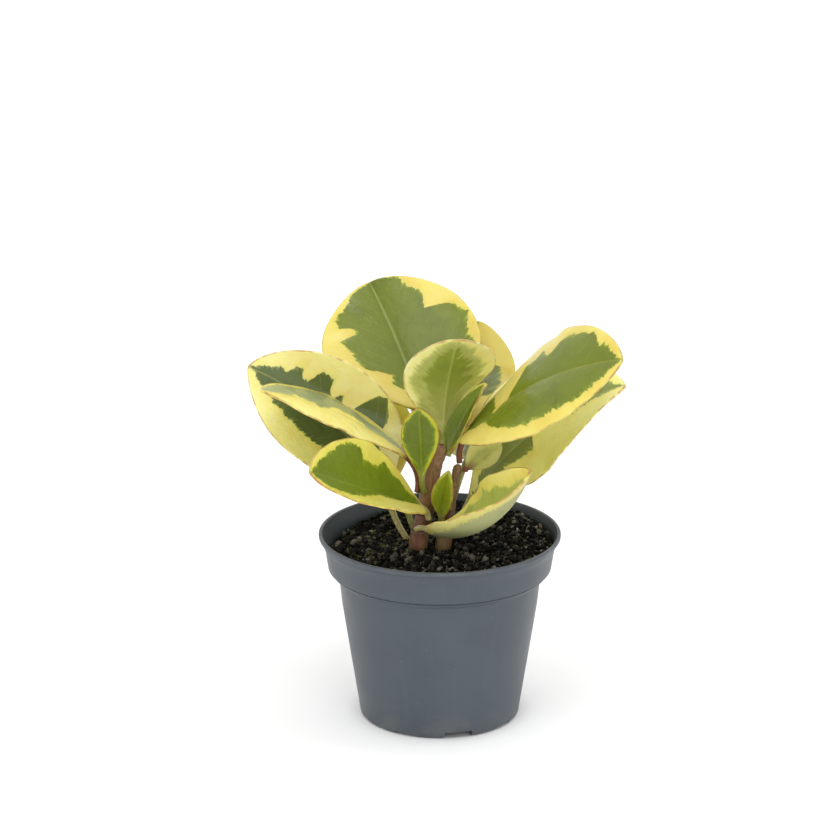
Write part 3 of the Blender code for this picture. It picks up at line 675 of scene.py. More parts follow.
def build_leaf(name, leaf, settings):
    """Bend a grid into petiole and blade, mark it, and thicken it."""
    rows = PETIOLE_ROWS + BLADE_ROWS
    bpy.ops.object.select_all(action="DESELECT")
    bpy.ops.mesh.primitive_grid_add(x_subdivisions=LEAF_COLUMNS, y_subdivisions=rows, size=2)
    obj = bpy.context.active_object
    obj.name = f"{name}_skin"
    mesh = obj.data
    count = len(mesh.vertices)
    flat = np.empty(count * 3)
    mesh.vertices.foreach_get("co", flat)
    flat = flat.reshape(-1, 3)
    a = np.sin(flat[:, 0] * pi / 2) * 0.35 + flat[:, 0] * 0.65
    row = np.round((flat[:, 1] + 1) / 2 * rows)
    stalk_radius = settings.petiole_radius / MM
    blade_half = settings.blade / MM / 2

    round_a = np.sin(flat[:, 0] * pi / 2)
    round_half = stalk_radius * np.maximum(np.cos(flat[:, 0] * pi / 2), 0.2)
    b = np.clip((row - PETIOLE_ROWS) / BLADE_ROWS, 0, 1)
    on_blade = row > PETIOLE_ROWS
    ratio = np.abs(a) * leaf.half_width(TIP_ROW) / (leaf.width / 2)
    tip = (1 - np.arcsin(np.clip(ratio ** (1 / leaf.fullness), 0, 1)) / pi) ** (1 / leaf.widest)
    s_blade = TIP_ROW * b + b ** TIP_SPREAD * (tip - TIP_ROW)
    s = np.where(on_blade, s_blade, row / PETIOLE_ROWS - 1)
    spread = smoothstep(b / PETIOLE_BLEND)
    half = np.hypot(leaf.half_width(TIP_ROW * b), stalk_radius * (1 - spread))
    side = half * (round_a + (a - round_a) * spread)
    thin = blade_half * (1 - settings.edge_thinning * a * a)
    half_thick = round_half + (thin - round_half) * spread

    half_here = np.maximum(leaf.half_width(s), 0.05)
    share = np.clip(np.abs(side) / half_here, 0, 1)
    run = s * leaf.length
    ripple = np.sin(run * 0.21 + leaf.seed) + 0.6 * np.sin(run * 0.37 + 2.1 * leaf.seed)
    lift = leaf.wave * ripple * share ** 3 * np.sin(pi * np.clip(s, 0, 1)) * np.where(side < 0, 1.0, 0.8)
    groove = np.exp(-(side / 1.3) ** 2) * smoothstep(s / 0.1) * (1 - 0.6 * np.clip(s, 0, 1))
    lift = lift - settings.groove / MM * groove
    vein = np.abs(np.sin((run - VEIN_SLANT * np.abs(side)) * pi / VEIN_SPACING))
    lift = lift - 0.05 * np.exp(-(vein / 0.25) ** 2) * smoothstep(s / 0.15) * (1 - share ** 4)
    points = leaf.surface(s, side, lift) * MM
    mesh.vertices.foreach_set("co", points.ravel())

    zone = leaf_markings(leaf, s, side, half_here)
    margin = np.where(on_blade, np.minimum(half_here - np.abs(side), (1 - s) * leaf.length), 3.0)
    margin = np.maximum(margin, 0) * np.where(np.abs(a) > 0.999, 0, 1)
    base_red = 1 - smoothstep((s * leaf.length + 1.0) / 9.0)
    stalk = np.where(on_blade, base_red * np.exp(-(side / (1.8 + 0.12 * s * leaf.length)) ** 2), 1.0)
    for label, values in (("green", zone), ("margin", margin), ("stalk", stalk)):
        layer = mesh.attributes.new(label, "FLOAT", "POINT")
        layer.data.foreach_set("value", values.astype(np.float32))
    corners = np.empty(len(mesh.loops), dtype=np.int32)
    mesh.loops.foreach_get("vertex_index", corners)
    plain = np.stack([side + leaf.seed * 100, run], -1)
    shift = np.where(side < 0, leaf.seed * 17.0, 0)
    slanted = np.stack([side, run - VEIN_SLANT * np.abs(side) + shift], -1)
    while mesh.uv_layers:
        mesh.uv_layers.remove(mesh.uv_layers[0])
    for label, values in (("flat", plain), ("veins", slanted)):
        layer = mesh.uv_layers.new(name=label)
        layer.data.foreach_set("uv", values[corners].ravel().astype(np.float32))

    upper = leaf_material(f"{name}_upper", leaf, False, settings)
    under = leaf_material(f"{name}_under", leaf, True, settings)
    mesh.materials.append(upper)
    mesh.materials.append(under)
    group = obj.vertex_groups.new(name="thickness")
    for index, value in enumerate(half_thick / stalk_radius):
        group.add([index], float(value), "REPLACE")
    solid = obj.modifiers.new("thickness", "SOLIDIFY")
    solid.thickness = 2 * settings.petiole_radius
    solid.offset = 0
    solid.vertex_group = group.name
    solid.material_offset = 1
    solid.material_offset_rim = 0
    apply_modifiers(obj)
    smooth(obj)
    obj.vertex_groups.clear()
    indices = np.empty(len(obj.data.polygons), dtype=np.int32)
    obj.data.polygons.foreach_get("material_index", indices)
    finish_piece(obj, "leaf_flesh", (upper, under), name)
    obj.data.polygons.foreach_set("material_index", indices)
    check_against(obj, name)


def check_against(obj, node, slack=0.004):
    """Stop if a piece has drifted from the CAD node it stands for."""
    low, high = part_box(node)
    points = np.empty(len(obj.data.vertices) * 3)
    obj.data.vertices.foreach_get("co", points)
    points = points.reshape(-1, 3)
    drift = max(np.abs(points.min(0) - np.array(low)).max(), np.abs(points.max(0) - np.array(high)).max())
    if drift > slack:
        raise ValueError(f"{obj.name} is {drift * 1000:.1f} mm off {node}")


class PEPEROMIA_OT_leaves(bpy.types.Operator):
    """Build every leaf with its petiole and markings"""

    bl_idname = "peperomia.leaves"
    bl_label = "Leaves"

    def execute(self, context):
        settings = context.scene.peperomia_leaf
        for name, leaf in LEAVES.items():
            build_leaf(name, leaf, settings)
        return {"FINISHED"}


# ---- stems -------------------------------------------------------------------------------------

STEMS = {
    "stem_main": (
        ((-11.0, 2.0, 80.0), 4.6), ((-11.0, 2.0, 87.5), 5.0), ((-9.5, 1.5, 95.0), 4.6),
        ((-7.5, 0.5, 104.0), 4.1), ((-5.5, -1.5, 117.0), 4.3), ((-3.0, -2.5, 130.0), 3.9),
        ((0.0, -3.0, 138.0), 2.9), ((0.8, -3.2, 141.2), 2.1), ((1.0, -3.2, 142.0), 0.5),
    ),
    "stem_right": (
        ((1.6, 1.0, 80.0), 4.0), ((1.6, 1.0, 88.0), 4.3), ((3.0, 0.8, 96.0), 3.5), ((5.0, 0.2, 107.0), 2.5),
        ((7.2, -0.8, 120.0), 2.1), ((8.6, -1.2, 128.0), 2.3), ((8.9, -1.4, 130.2), 1.8),
        ((9.0, -1.5, 131.0), 0.5),
    ),
}
YOUNG_BARK = ((0.300, 0.185, 0.065), (0.150, 0.070, 0.028))
STEM_JOINTS = {"stem_main": (96.0, 104.5, 118.0, 131.0, 137.0), "stem_right": (95.0, 106.0, 119.0, 129.0)}


def stem_material(settings):
    """Reddish brown bark, greener in places, with leaf scars, fine grain and pale flecks."""
    nodes = Nodes("stem_bark_skin")
    space = nodes.object_space()
    grain = nodes.noise(nodes.mapped(space, (1, 1, 0.12)), 1400.0, 3.0, 0.6)
    patches = nodes.noise(space, 130.0, 3.0, 0.55)
    bark = tuple(settings.bark)
    colour = nodes.mix(nodes.between(patches, 0.35, 0.65), bark, scaled(bark, 1.7))
    colour = nodes.mix(nodes.between(grain, 0.45, 0.75, 0.0, 0.7), colour, scaled(bark, 0.38))
    greenness = nodes.math("MULTIPLY", nodes.attribute("green_bark"), 0.85)
    colour = nodes.mix(greenness, colour, tuple(settings.green_bark))
    colour = nodes.mix(nodes.math("MULTIPLY", nodes.attribute("scar"), 0.4), colour, scaled(bark, 0.3))
    flecks = nodes.cells(space, 750.0)
    colour = nodes.mix(nodes.between(flecks, 0.06, 0.16, 0.45, 0.0), colour, (0.36, 0.23, 0.11))
    height = nodes.parts(space)["Z"]
    young = nodes.between(height, 0.104, 0.120, 0.0, 0.6)
    colour = nodes.mix(young, colour, nodes.mix(nodes.between(grain, 0.4, 0.7), *YOUNG_BARK))
    nodes.wear(Base_Color=colour)
    nodes.wear(Normal=nodes.bump(grain, 0.35, 0.0003))
    nodes.wear(Roughness=nodes.between(patches, 0.3, 0.7, 0.34, 0.55))
    return nodes.material


def build_stem(name, points, joints, material):
    """Sweep a stalk along its points, then swell its joints and roughen its bark."""
    data = bpy.data.curves.new(f"{name}_bark", "CURVE")
    data.dimensions = "3D"
    data.bevel_depth = MM
    data.bevel_resolution = 10
    data.use_fill_caps = True
    data.resolution_u = 14
    spline = data.splines.new("NURBS")
    spline.points.add(len(points) - 1)
    spline.use_endpoint_u = True
    spline.order_u = 3
    for control, (place, radius) in zip(spline.points, points):
        control.co = (*(value * MM for value in place), 1.0)
        control.radius = radius
    obj = bpy.data.objects.new(f"{name}_bark", data)
    bpy.context.collection.objects.link(obj)
    select_only(obj)
    bpy.ops.object.convert(target="MESH")
    obj = bpy.context.active_object
    tidy_mesh(obj)
    select_only(obj)
    bpy.ops.object.mode_set(mode="EDIT")
    bpy.ops.mesh.select_all(action="SELECT")
    bpy.ops.mesh.subdivide(number_cuts=1)
    bpy.ops.object.mode_set(mode="OBJECT")
    mesh = obj.data
    centres = np.array([place for place, _ in points])
    scar_values = np.zeros(len(mesh.vertices), dtype=np.float32)
    green_values = np.zeros(len(mesh.vertices), dtype=np.float32)
    places = []
    for vertex in mesh.vertices:
        x, y, z = (value / MM for value in vertex.co)
        centre = Vector((*(np.interp(z, centres[:, 2], centres[:, axis]) for axis in (0, 1)), z))
        outward = Vector((x, y, z)) - centre
        far = outward.length
        scar = max(max(0.0, 1 - abs(z - joint - 0.06 * (x - centre.x)) / 0.8) for joint in joints)
        swell = sum(0.30 * pi * (2.718 ** (-((z - joint) / 2.2) ** 2)) * 0.45 for joint in joints)
        rough = 0.22 * noise.noise(Vector((x, y, z * 0.5)) * 0.55)
        rough += 0.10 * noise.noise(Vector((x, y, z * 0.3)) * 1.7)
        scale = 1 + (swell * 0.5 - 0.22 * scar + rough) / max(far, 0.8)
        places.append((centre + outward * scale) * MM)
        scar_values[vertex.index] = scar
        green = 0.5 + 0.8 * noise.noise(Vector((x * 0.12, y * 0.12, z * 0.05 + len(joints))))
        green_values[vertex.index] = min(1.0, max(0.0, green if name == "stem_right" else green - 0.35))
    mesh.vertices.foreach_set("co", np.array([tuple(place) for place in places]).ravel())
    for label, values in (("scar", scar_values), ("green_bark", green_values)):
        layer = mesh.attributes.new(label, "FLOAT", "POINT")
        layer.data.foreach_set("value", values)
    smooth(obj)
    finish_piece(obj, "stem_bark", (material,), name)


class PEPEROMIA_OT_stems(bpy.types.Operator):
    """Build the stems with their joints and leaf scars"""

    bl_idname = "peperomia.stems"
    bl_label = "Stems"

    def execute(self, context):
        material = stem_material(context.scene.peperomia_stem)
        for name, points in STEMS.items():
            build_stem(name, points, STEM_JOINTS[name], material)
        return {"FINISHED"}


# ---- potting mix -------------------------------------------------------------------------------

SOIL_LEVEL = 86.2
SOIL_RINGS = 64
SOIL_SPOKES = 160
SOIL_DEPTH = 8
SOIL_TAPER = 0.090
GRIT_SPOTS = (None, (30, 0, 15), (32, -16, 13), (8, -40, 10))
MOSS_TUFTS = 70
MOSS_SPOTS = ((-36, 6, 9), (-26, 28, 9), (-38, -12, 7), (-20, -6, 8), (-14, 34, 8))
# Each kind: darkest and palest colour. The peat's palest colour mostly goes to the smallest crumbs, as
# painted glints.
CRUMB_KINDS = {
    "peat": ((0.002, 0.002, 0.001), (0.250, 0.235, 0.185)),
    "clod": ((0.002, 0.002, 0.001), (0.030, 0.026, 0.017)),
    "perlite": ((0.300, 0.295, 0.280), (0.640, 0.630, 0.600)),
    "fibre": ((0.060, 0.040, 0.018), (0.230, 0.160, 0.080)),
    "moss": ((0.016, 0.020, 0.005), (0.230, 0.225, 0.085)),
    "leaf_fleck": ((0.120, 0.180, 0.030), (0.200, 0.260, 0.050)),
}
STALK_FEET = ((-11.0, 2.0, 5.4), (1.6, 1.0, 4.7), (-16.1, 9.6, 2.2), (13.8, 12.0, 2.2), (-12.0, 15.5, 2.2))


def soil_height(x, y):
    """Lift of the mix's surface above its level, in millimetres, at x and y in millimetres."""
    far = (x * x + y * y) ** 0.5 / 50
    broad = 1.2 * noise.noise(Vector((x * 0.035, y * 0.035, 3.0)))
    lumps = 1.5 * noise.noise(Vector((x * 0.11, y * 0.11, 7.0)))
    fine = 0.8 * noise.noise(Vector((x * 0.33, y * 0.33, 11.0))) + 0.5 * noise.noise(Vector((x, y, 1.0)))
    sunken = 3.0 * max(0.0, -0.95 * x / 50 - 0.10 * y / 50 - 0.55)
    heaped = 5.4 * max(0.0, min(1.0, (0.75 * x + 0.80 * y) / 50)) ** 0.8 * min(1.0, far * 1.3)
    mossy = 2.2 * 2.718 ** (-((x + 22) ** 2 + (y - 26) ** 2) / 160)
    return (broad + lumps + fine) * (1 - 0.7 * far ** 8) - 0.6 * far ** 6 - sunken + heaped + mossy


def soil_spread(height):
    """How far heaped mix spreads outwards, because the wall opens upwards."""
    return 1 + 0.0048 * max(0.0, height)


def soil_material(settings):
    """Damp peat with darker wet patches, pale dust and fine grain."""
    nodes = Nodes("soil_peat")
    space = nodes.object_space()
    peat = tuple(settings.peat)
    wet = nodes.noise(space, 45.0, 3.0, 0.6)
    grain = nodes.noise(space, 1100.0, 4.0, 0.7)
    colour = nodes.mix(nodes.between(wet, 0.4, 0.65), scaled(peat, 0.5), scaled(peat, 2.1))
    colour = nodes.mix(nodes.between(grain, 0.55, 0.8, 0.0, 0.7), colour, (0.085, 0.062, 0.036))
    mossy = nodes.noise(nodes.mapped(space, (1, 1, 0)), 30.0, 2.0)
    green = nodes.between(mossy, 0.5, 0.7, 0.0, 0.7)
    green = nodes.math("MULTIPLY", green, nodes.between(grain, 0.35, 0.6))
    colour = nodes.mix(green, colour, (0.055, 0.062, 0.018))
    nodes.wear(Base_Color=colour)
    nodes.wear(Normal=nodes.bump(grain, 0.9, 0.0012))
    nodes.wear(Roughness=nodes.between(wet, 0.35, 0.7, 0.95, 0.62))
    nodes.fix(Specular_IOR_Level=0.1)
    return nodes.material


def crumb_material():
    """Colours every crumb from its own stored colour, mottled by fine grain."""
    nodes = Nodes("soil_crumbs")
    tone = nodes.add("ShaderNodeAttribute", attribute_name="tone").outputs["Color"]
    grain = nodes.noise(nodes.object_space(), 1600.0, 3.0, 0.7)
    colour = nodes.mix(nodes.between(grain, 0.35, 0.75, 0.0, 0.8), tone, (0.35, 0.35, 0.35), "MULTIPLY")
    nodes.wear(Base_Color=colour)
    nodes.wear(Normal=nodes.bump(grain, 0.6, 0.0005))
    nodes.wear(Roughness=nodes.between(grain, 0.3, 0.7, 0.45, 0.9))
    nodes.fix(Specular_IOR_Level=0.12)
    return nodes.material


def crumb_shapes():
    """Small rough lumps and slivers that the crumbs are made from."""
    shapes = []
    for index in range(10):
        work = bmesh.new()
        bmesh.ops.create_icosphere(work, subdivisions=1, radius=1.0)
        for vertex in work.verts:
            bulge = noise.noise(vertex.co * 1.3 + Vector((index * 5.1, 0, 0)))
            vertex.co *= 1 + 0.55 * bulge
        points = np.array([tuple(vertex.co) for vertex in work.verts])
        work.verts.index_update()
        faces = np.array([[vertex.index for vertex in face.verts] for face in work.faces])
        shapes.append((points, faces))
        work.free()
    return shapes


def random_turn(dice):
    axis = Vector((dice.gauss(0, 1), dice.gauss(0, 1), dice.gauss(0, 1))).normalized()
    return np.array(Matrix.Rotation(dice.uniform(0, 2 * pi), 3, axis))


def scatter_crumbs(settings, radius):
    """One mesh of many crumbs lying on the mix, each with its own size, turn and tone."""
    dice = random.Random(12)
    shapes = crumb_shapes()
    jobs = []

    def place(kind, size, stretch, spot=None, lift=0.25):
        for _ in range(30):
            if spot is None:
                x = dice.uniform(-radius, radius)
                y = dice.uniform(-radius, radius)
            else:
                x = dice.gauss(spot[0], spot[2])
                y = dice.gauss(spot[1], spot[2])
            clear = all((x - fx) ** 2 + (y - fy) ** 2 > (fr + 0.4 * size) ** 2 for fx, fy, fr in STALK_FEET)
            if (x * x + y * y) ** 0.5 < radius - size * stretch * 0.6 and clear:
                jobs.append((kind, x, y, size, stretch, lift))
                return

    for _ in range(settings.crumbs):
        size = dice.choice((0.4, 0.5, 0.6, 0.7, 0.9, 1.1, 1.4)) * dice.uniform(0.8, 1.25)
        place("peat", size, 1.2, None, dice.choice((0.2, 0.6, 1.0)))
    for _ in range(settings.crumbs // 12):
        place("clod", dice.uniform(1.2, 2.0), 1.1, None, 0.35)
    for _ in range(settings.bark_chips):
        place("fibre", dice.uniform(0.3, 0.6), dice.uniform(1.6, 4.0), None, 0.7)
    for _ in range(settings.bark_chips // 3):
        place("fibre", dice.uniform(0.5, 1.1), dice.uniform(1.4, 3.0), (-28, -30, 8), 0.5)
    for _ in range(settings.grit):
        place("perlite", dice.uniform(0.2, 0.62), 1.2, dice.choice(GRIT_SPOTS), 0.9)
    tufts = []
    for _ in range(MOSS_TUFTS):
        spot = dice.choice(MOSS_SPOTS)
        tufts.append((dice.gauss(spot[0], spot[2]), dice.gauss(spot[1], spot[2]), dice.uniform(0.8, 2.2)))
    for _ in range(settings.moss):
        place("moss", dice.uniform(0.22, 0.5), 2.4, dice.choice(tufts), dice.uniform(0.8, 3.0))
    place("leaf_fleck", 1.3, 1.6, (3, -38, 0.5), 0.6)
    place("fibre", 2.0, 1.5, (34, -6, 0.5), 0.6)

    points, faces, tones = [], [], []
    start = 0
    for kind, x, y, size, stretch, lift in jobs:
        shape, shape_faces = dice.choice(shapes)
        lump = shape * size * np.array((stretch, dice.uniform(0.7, 1.0), dice.uniform(0.5, 0.9)))
        if kind == "fibre":
            lump = lump * np.array((1.0, 0.55, 0.45))
        turned = lump @ random_turn(dice).T
        if kind == "fibre":
            turned = turned * np.array((1, 1, 0.35))
        low = soil_height(x, y)
        spread = soil_spread(low)
        turned = turned + np.array((x * spread, y * spread, SOIL_LEVEL + low + lift * size))
        points.append(turned)
        faces.append(shape_faces + start)
        start += len(shape)
        dark, pale = CRUMB_KINDS[kind]
        # Peat crumbs are mostly dark. The smaller the crumb, the likelier it comes out pale, so the small
        # pale ones are painted glints that stand in for highlights on the wet mix.
        mix = dice.random() ** (1.3 if kind in ("moss", "perlite", "fibre") else 2.5 + 3.5 * size)
        tone = [a + (b - a) * mix for a, b in zip(dark, pale)]
        tones.extend([(*tone, 1.0)] * len(shape))
    mesh = bpy.data.meshes.new("soil_crumbs")
    mesh.from_pydata((np.vstack(points) * MM).tolist(), [], np.vstack(faces).tolist())
    layer = mesh.attributes.new("tone", "FLOAT_COLOR", "POINT")
    layer.data.foreach_set("color", np.array(tones, dtype=np.float32).ravel())
    obj = bpy.data.objects.new("soil_crumbs", mesh)
    bpy.context.collection.objects.link(obj)
    return obj


def build_mix(radius):
    """The body of the mix: a lumpy top on rings and spokes, tapering sides and a flat underside."""
    work = bmesh.new()
    grid = []
    for ring in range(SOIL_RINGS + 1):
        row = []
        for spoke in range(SOIL_SPOKES if ring else 1):
            far = radius * ring / SOIL_RINGS
            turn = 2 * pi * spoke / SOIL_SPOKES
            x = far * cos(turn)
            y = far * sin(turn)
            height = soil_height(x, y)
            spread = soil_spread(height)
            row.append(work.verts.new(Vector((x * spread, y * spread, SOIL_LEVEL + height)) * MM))
        grid.append(row)
    low_row = []
    far = radius - SOIL_DEPTH * SOIL_TAPER
    low = SOIL_LEVEL - SOIL_DEPTH
    for spoke in range(SOIL_SPOKES):
        turn = 2 * pi * spoke / SOIL_SPOKES
        low_row.append(work.verts.new(Vector((far * cos(turn), far * sin(turn), low)) * MM))
    grid.append(low_row)
    foot = work.verts.new((0, 0, low * MM))
    for spoke in range(SOIL_SPOKES):
        after = (spoke + 1) % SOIL_SPOKES
        work.faces.new((grid[0][0], grid[1][spoke], grid[1][after]))
        work.faces.new((foot, low_row[after], low_row[spoke]))
        for upper, lower in zip(grid[1:-1], grid[2:]):
            work.faces.new((upper[spoke], lower[spoke], lower[after], upper[after]))
    bmesh.ops.recalc_face_normals(work, faces=work.faces)
    mesh = bpy.data.meshes.new("soil_mix")
    work.to_mesh(mesh)
    work.free()
    top = bpy.data.objects.new("soil_mix", mesh)
    bpy.context.collection.objects.link(top)
    smooth(top)
    return top


class PEPEROMIA_OT_soil(bpy.types.Operator):
    """Build the potting mix as one lumpy body with loose crumbs, perlite, fibre and moss on it"""

    bl_idname = "peperomia.soil"
    bl_label = "Potting Mix"

    def execute(self, context):
        settings = context.scene.peperomia_soil
        radius = (SOIL_HIGH.x - SOIL_LOW.x) / 2 / MM
        top = build_mix(radius)
        crumbs = scatter_crumbs(settings, radius - 0.4)
        peat = soil_material(settings)
        loose = crumb_material()
        finish_piece(top, "potting_mix", (peat,), "soil")
        finish_piece(crumbs, "potting_mix", (loose,))
        return {"FINISHED"}


# ---- pot ---------------------------------------------------------------------------------------

POT_HEIGHT = 95.0
POT_STEPS = 192
NOTCH_COUNT = 9
NOTCH_START = radians(-76.5)
DRAIN_EVERY = 3
DRAIN_NOTCH = (16.0, 3.4, 33.1)
SCALLOP_NOTCH = (11.0, 1.6, 31.6)
NOTCH_OUTER = 46.0
NOTCH_SLANT = 0.35
FLARE_DEPTH = 6.5
FOOT_RADIUS = 40.0
FOOT_BEND = 2.4
# Radius and depth below the lip, from the lip's foot down the band and shoulder to the body.
POT_OUTLINE = (
    (59.2, 3.0), (58.3, 4.8), (57.5, 6.8), (57.0, 8.9), (56.4, 12.8), (55.75, 17.2), (55.6, 17.7),
    (55.3, 17.95), (54.4, 18.05), (54.15, 18.5), (54.45, 19.0), (53.9, 19.7), (52.9, 20.5),
    (51.6, 21.4), (50.7, 22.1), (50.35, 22.7), (50.2, 23.6), (48.8, 36.4),
)


def pot_outline(wall):
    """Outer profile from the lip down to the foot, drawn inwards by the wall's thickness."""
    return [(radius - wall, POT_HEIGHT - depth) for radius, depth in POT_OUTLINE]


def pot_profile(wall):
    """Closed profile of the pot, as radius and height in millimetres."""
    foot_inner = []
    foot_outer = []
    for step in range(9):
        turn = -pi / 2 * step / 8
        foot_outer.append((FOOT_RADIUS - FOOT_BEND * (1 - cos(turn)), FOOT_BEND * (1 + sin(turn))))
    for step in range(7):
        turn = -pi / 2 + pi / 2 * step / 6
        foot_inner.append((37.3 + 1.5 * cos(turn), 4.5 + 1.5 * sin(turn)))
    body_radius, body_depth = POT_OUTLINE[-1]
    slope = (body_radius - FOOT_RADIUS) / (POT_HEIGHT - body_depth - FOOT_BEND)
    inner_wall = [point for point in reversed(pot_outline(wall)) if point[1] < POT_HEIGHT - FLARE_DEPTH]
    foot_inner = [(radius, height) for radius, height in foot_inner
                  if radius < FOOT_RADIUS - wall + slope * height]
    lip = (
        (57.2, 90.5), (57.9, 92.6), (58.3, 93.8), (58.45, 94.5), (58.6, 94.85), (58.9, 95.0),
        (59.7, 95.0), (60.1, 94.85), (60.3, 94.45), (60.3, 93.8), (60.2, 93.2), (59.9, 92.8),
        (59.4, 92.6), (59.2, 92.35),
    )
    base = (
        (36.2, 0.0), (35.8, 0.2), (35.5, 0.7), (35.0, 1.4), (34.4, 1.8), (9.0, 1.8), (8.0, 1.7),
        (7.2, 0.6), (6.8, 0.0), (0.0, 0.0),
    )
    return [(0.0, 3.0), *foot_inner, *inner_wall, *lip, *pot_outline(0.0), *foot_outer, *base]


def pot_material(settings):
    """Grey-blue moulded plastic with fine grain, faint streaks, scuffs on the lip and dust low down."""
    nodes = Nodes("pot_plastic_skin")
    space = nodes.object_space()
    plastic = tuple(settings.plastic)
    cloud = nodes.noise(space, 28.0, 3.0, 0.6)
    streak = nodes.noise(nodes.mapped(space, (1, 1, 0.06)), 210.0, 2.0, 0.5)
    grain = nodes.noise(space, 2400.0, 2.0, 0.6)
    colour = nodes.mix(nodes.between(cloud, 0.35, 0.65), scaled(plastic, 0.93), scaled(plastic, 1.07))
    colour = nodes.mix(nodes.between(streak, 0.52, 0.8, 0.0, 0.22), colour, scaled(plastic, 1.35))
    colour = nodes.mix(nodes.between(grain, 0.55, 0.8, 0.0, 0.18), colour, scaled(plastic, 1.5))
    specks = nodes.cells(space, 160.0)
    colour = nodes.mix(nodes.between(specks, 0.03, 0.09, 0.30, 0.0), colour, (0.22, 0.20, 0.17))
    height = nodes.parts(space)["Z"]
    dust = nodes.between(height, 0.0, 0.020, 0.28, 0.0)
    dust = nodes.math("MULTIPLY", dust, nodes.between(nodes.noise(space, 90.0, 3.0), 0.4, 0.7))
    colour = nodes.mix(dust, colour, (0.18, 0.17, 0.15))
    rim = nodes.between(height, 0.0925, 0.0940)
    rim = nodes.math("MULTIPLY", rim, nodes.between(nodes.noise(space, 140.0, 3.0), 0.42, 0.68, 0.10, 0.40))
    colour = nodes.mix(rim, colour, (0.125, 0.128, 0.130))
    nodes.wear(Base_Color=colour)
    normal = nodes.bump(streak, 0.05, 0.0004)
    nodes.wear(Normal=nodes.bump(grain, 0.14, 0.00015, normal))
    rough = settings.roughness
    nodes.wear(Roughness=nodes.between(cloud, 0.3, 0.7, rough - 0.05, rough + 0.09))
    nodes.fix(Specular_IOR_Level=0.45)
    return nodes.material


class PEPEROMIA_OT_pot(bpy.types.Operator):
    """Build the nursery pot: banded wall, thin flared lip, raised floor, drain slots and foot notches"""

    bl_idname = "peperomia.pot"
    bl_label = "Nursery Pot"

    def execute(self, context):
        settings = context.scene.peperomia_pot
        profile = pot_profile(settings.wall / MM)
        bpy.ops.object.select_all(action="DESELECT")
        bpy.ops.mesh.primitive_circle_add(vertices=len(profile), radius=0.01)
        pot = context.active_object
        pot.name = "nursery_pot"
        for vertex, (radius, height) in zip(pot.data.vertices, profile):
            vertex.co = (radius * MM, 0, height * MM)
        work = bmesh.new()
        work.from_mesh(pot.data)
        work.verts.ensure_lookup_table()
        axis_edge = [edge for edge in work.edges if all(abs(vertex.co.x) < 1e-6 for vertex in edge.verts)]
        bmesh.ops.delete(work, geom=axis_edge, context="EDGES")
        work.to_mesh(pot.data)
        work.free()
        select_only(pot)
        screw = pot.modifiers.new("turn", "SCREW")
        screw.steps = POT_STEPS
        screw.render_steps = POT_STEPS
        screw.use_merge_vertices = True
        screw.merge_threshold = 1e-6
        apply_modifiers(pot)
        tidy_mesh(pot)
        for index in range(NOTCH_COUNT):
            cut_notch(pot, NOTCH_START + 2 * pi * index / NOTCH_COUNT, index % DRAIN_EVERY == 0)
        tidy_mesh(pot)
        mark_sharp(pot)
        finish_piece(pot, "pot_plastic", (pot_material(settings),), "pot")
        return {"FINISHED"}


def cut_notch(pot, turn, drain):
    """Cut one notch through the foot: a wide drain slot or a shallow scallop."""
    width, height, inner = DRAIN_NOTCH if drain else SCALLOP_NOTCH
    bpy.ops.object.select_all(action="DESELECT")
    bpy.ops.mesh.primitive_cube_add(size=1)
    cutter = bpy.context.active_object
    slant = NOTCH_SLANT * height
    spin = Matrix.Rotation(turn, 3, "Z")
    for vertex in cutter.data.vertices:
        outer, left, top = (value > 0 for value in vertex.co)
        half = width / 2 - (slant if top else 0)
        corner = (NOTCH_OUTER if outer else inner, half if left else -half, height if top else -2.0)
        vertex.co = spin @ (Vector(corner) * MM)
    modifier = pot.modifiers.new("notch", "BOOLEAN")
    modifier.operation = "DIFFERENCE"
    modifier.solver = "EXACT"
    modifier.object = cutter
    apply_modifiers(pot)
    bpy.data.objects.remove(cutter)


def mark_sharp(obj, angle=32):
    """Smooth shading with crisp edges where faces meet at more than the angle."""
    select_only(obj)
    bpy.ops.object.mode_set(mode="EDIT")
    bpy.ops.mesh.select_all(action="DESELECT")
    bpy.ops.mesh.select_mode(type="EDGE")
    bpy.ops.mesh.edges_select_sharp(sharpness=radians(angle))
    bpy.ops.mesh.mark_sharp()
    bpy.ops.object.mode_set(mode="OBJECT")
    smooth(obj)


# ---- stage -------------------------------------------------------------------------------------

CAMERA_PLACE = (-0.00984, -2.0700, 0.8361)
CAMERA_AIM = (-0.00984, 0.0, 0.1536)
# Each light: its place, what it points at and the side of its square.
LIGHTS = {
    "key": ((-0.35, -0.9, 2.0), (0, 0, 0.1), 1.0),
    "glint": ((0.50, -0.10, 1.70), (0, 0, 0.15), 0.35),
    "fill": ((0.7, -1.9, 0.5), (0, 0, 0.12), 1.0),
}


def floor_material(settings):
    """Pale matte floor with the faintest mottling, glowing as painted light to lift its shadows, with the
    glow cut off under the pot as painted shade.
    """
    nodes = Nodes("floor_pale")
    space = nodes.object_space()
    floor = tuple(settings.floor)
    tone = nodes.noise(space, 4.0, 2.0)
    nodes.wear(Base_Color=nodes.mix(tone, floor, scaled(floor, 0.995)))
    nodes.fix(Roughness=0.9)
    nodes.fix(Specular_IOR_Level=0.1)
    nodes.fix(Emission_Color=(1.0, 1.0, 1.0, 1.0))
    # Painted light: the floor glows by itself, from 36 mm out to full strength at 50 mm from the middle, so
    # the floor under the pot stays dark as painted shade.
    far = nodes.add("ShaderNodeVectorMath", operation="LENGTH")
    nodes.link(space, far.inputs[0])
    nodes.wear(Emission_Strength=nodes.between(far.outputs["Value"], 0.036, 0.050, 0.0, settings.glow))
    return nodes.material


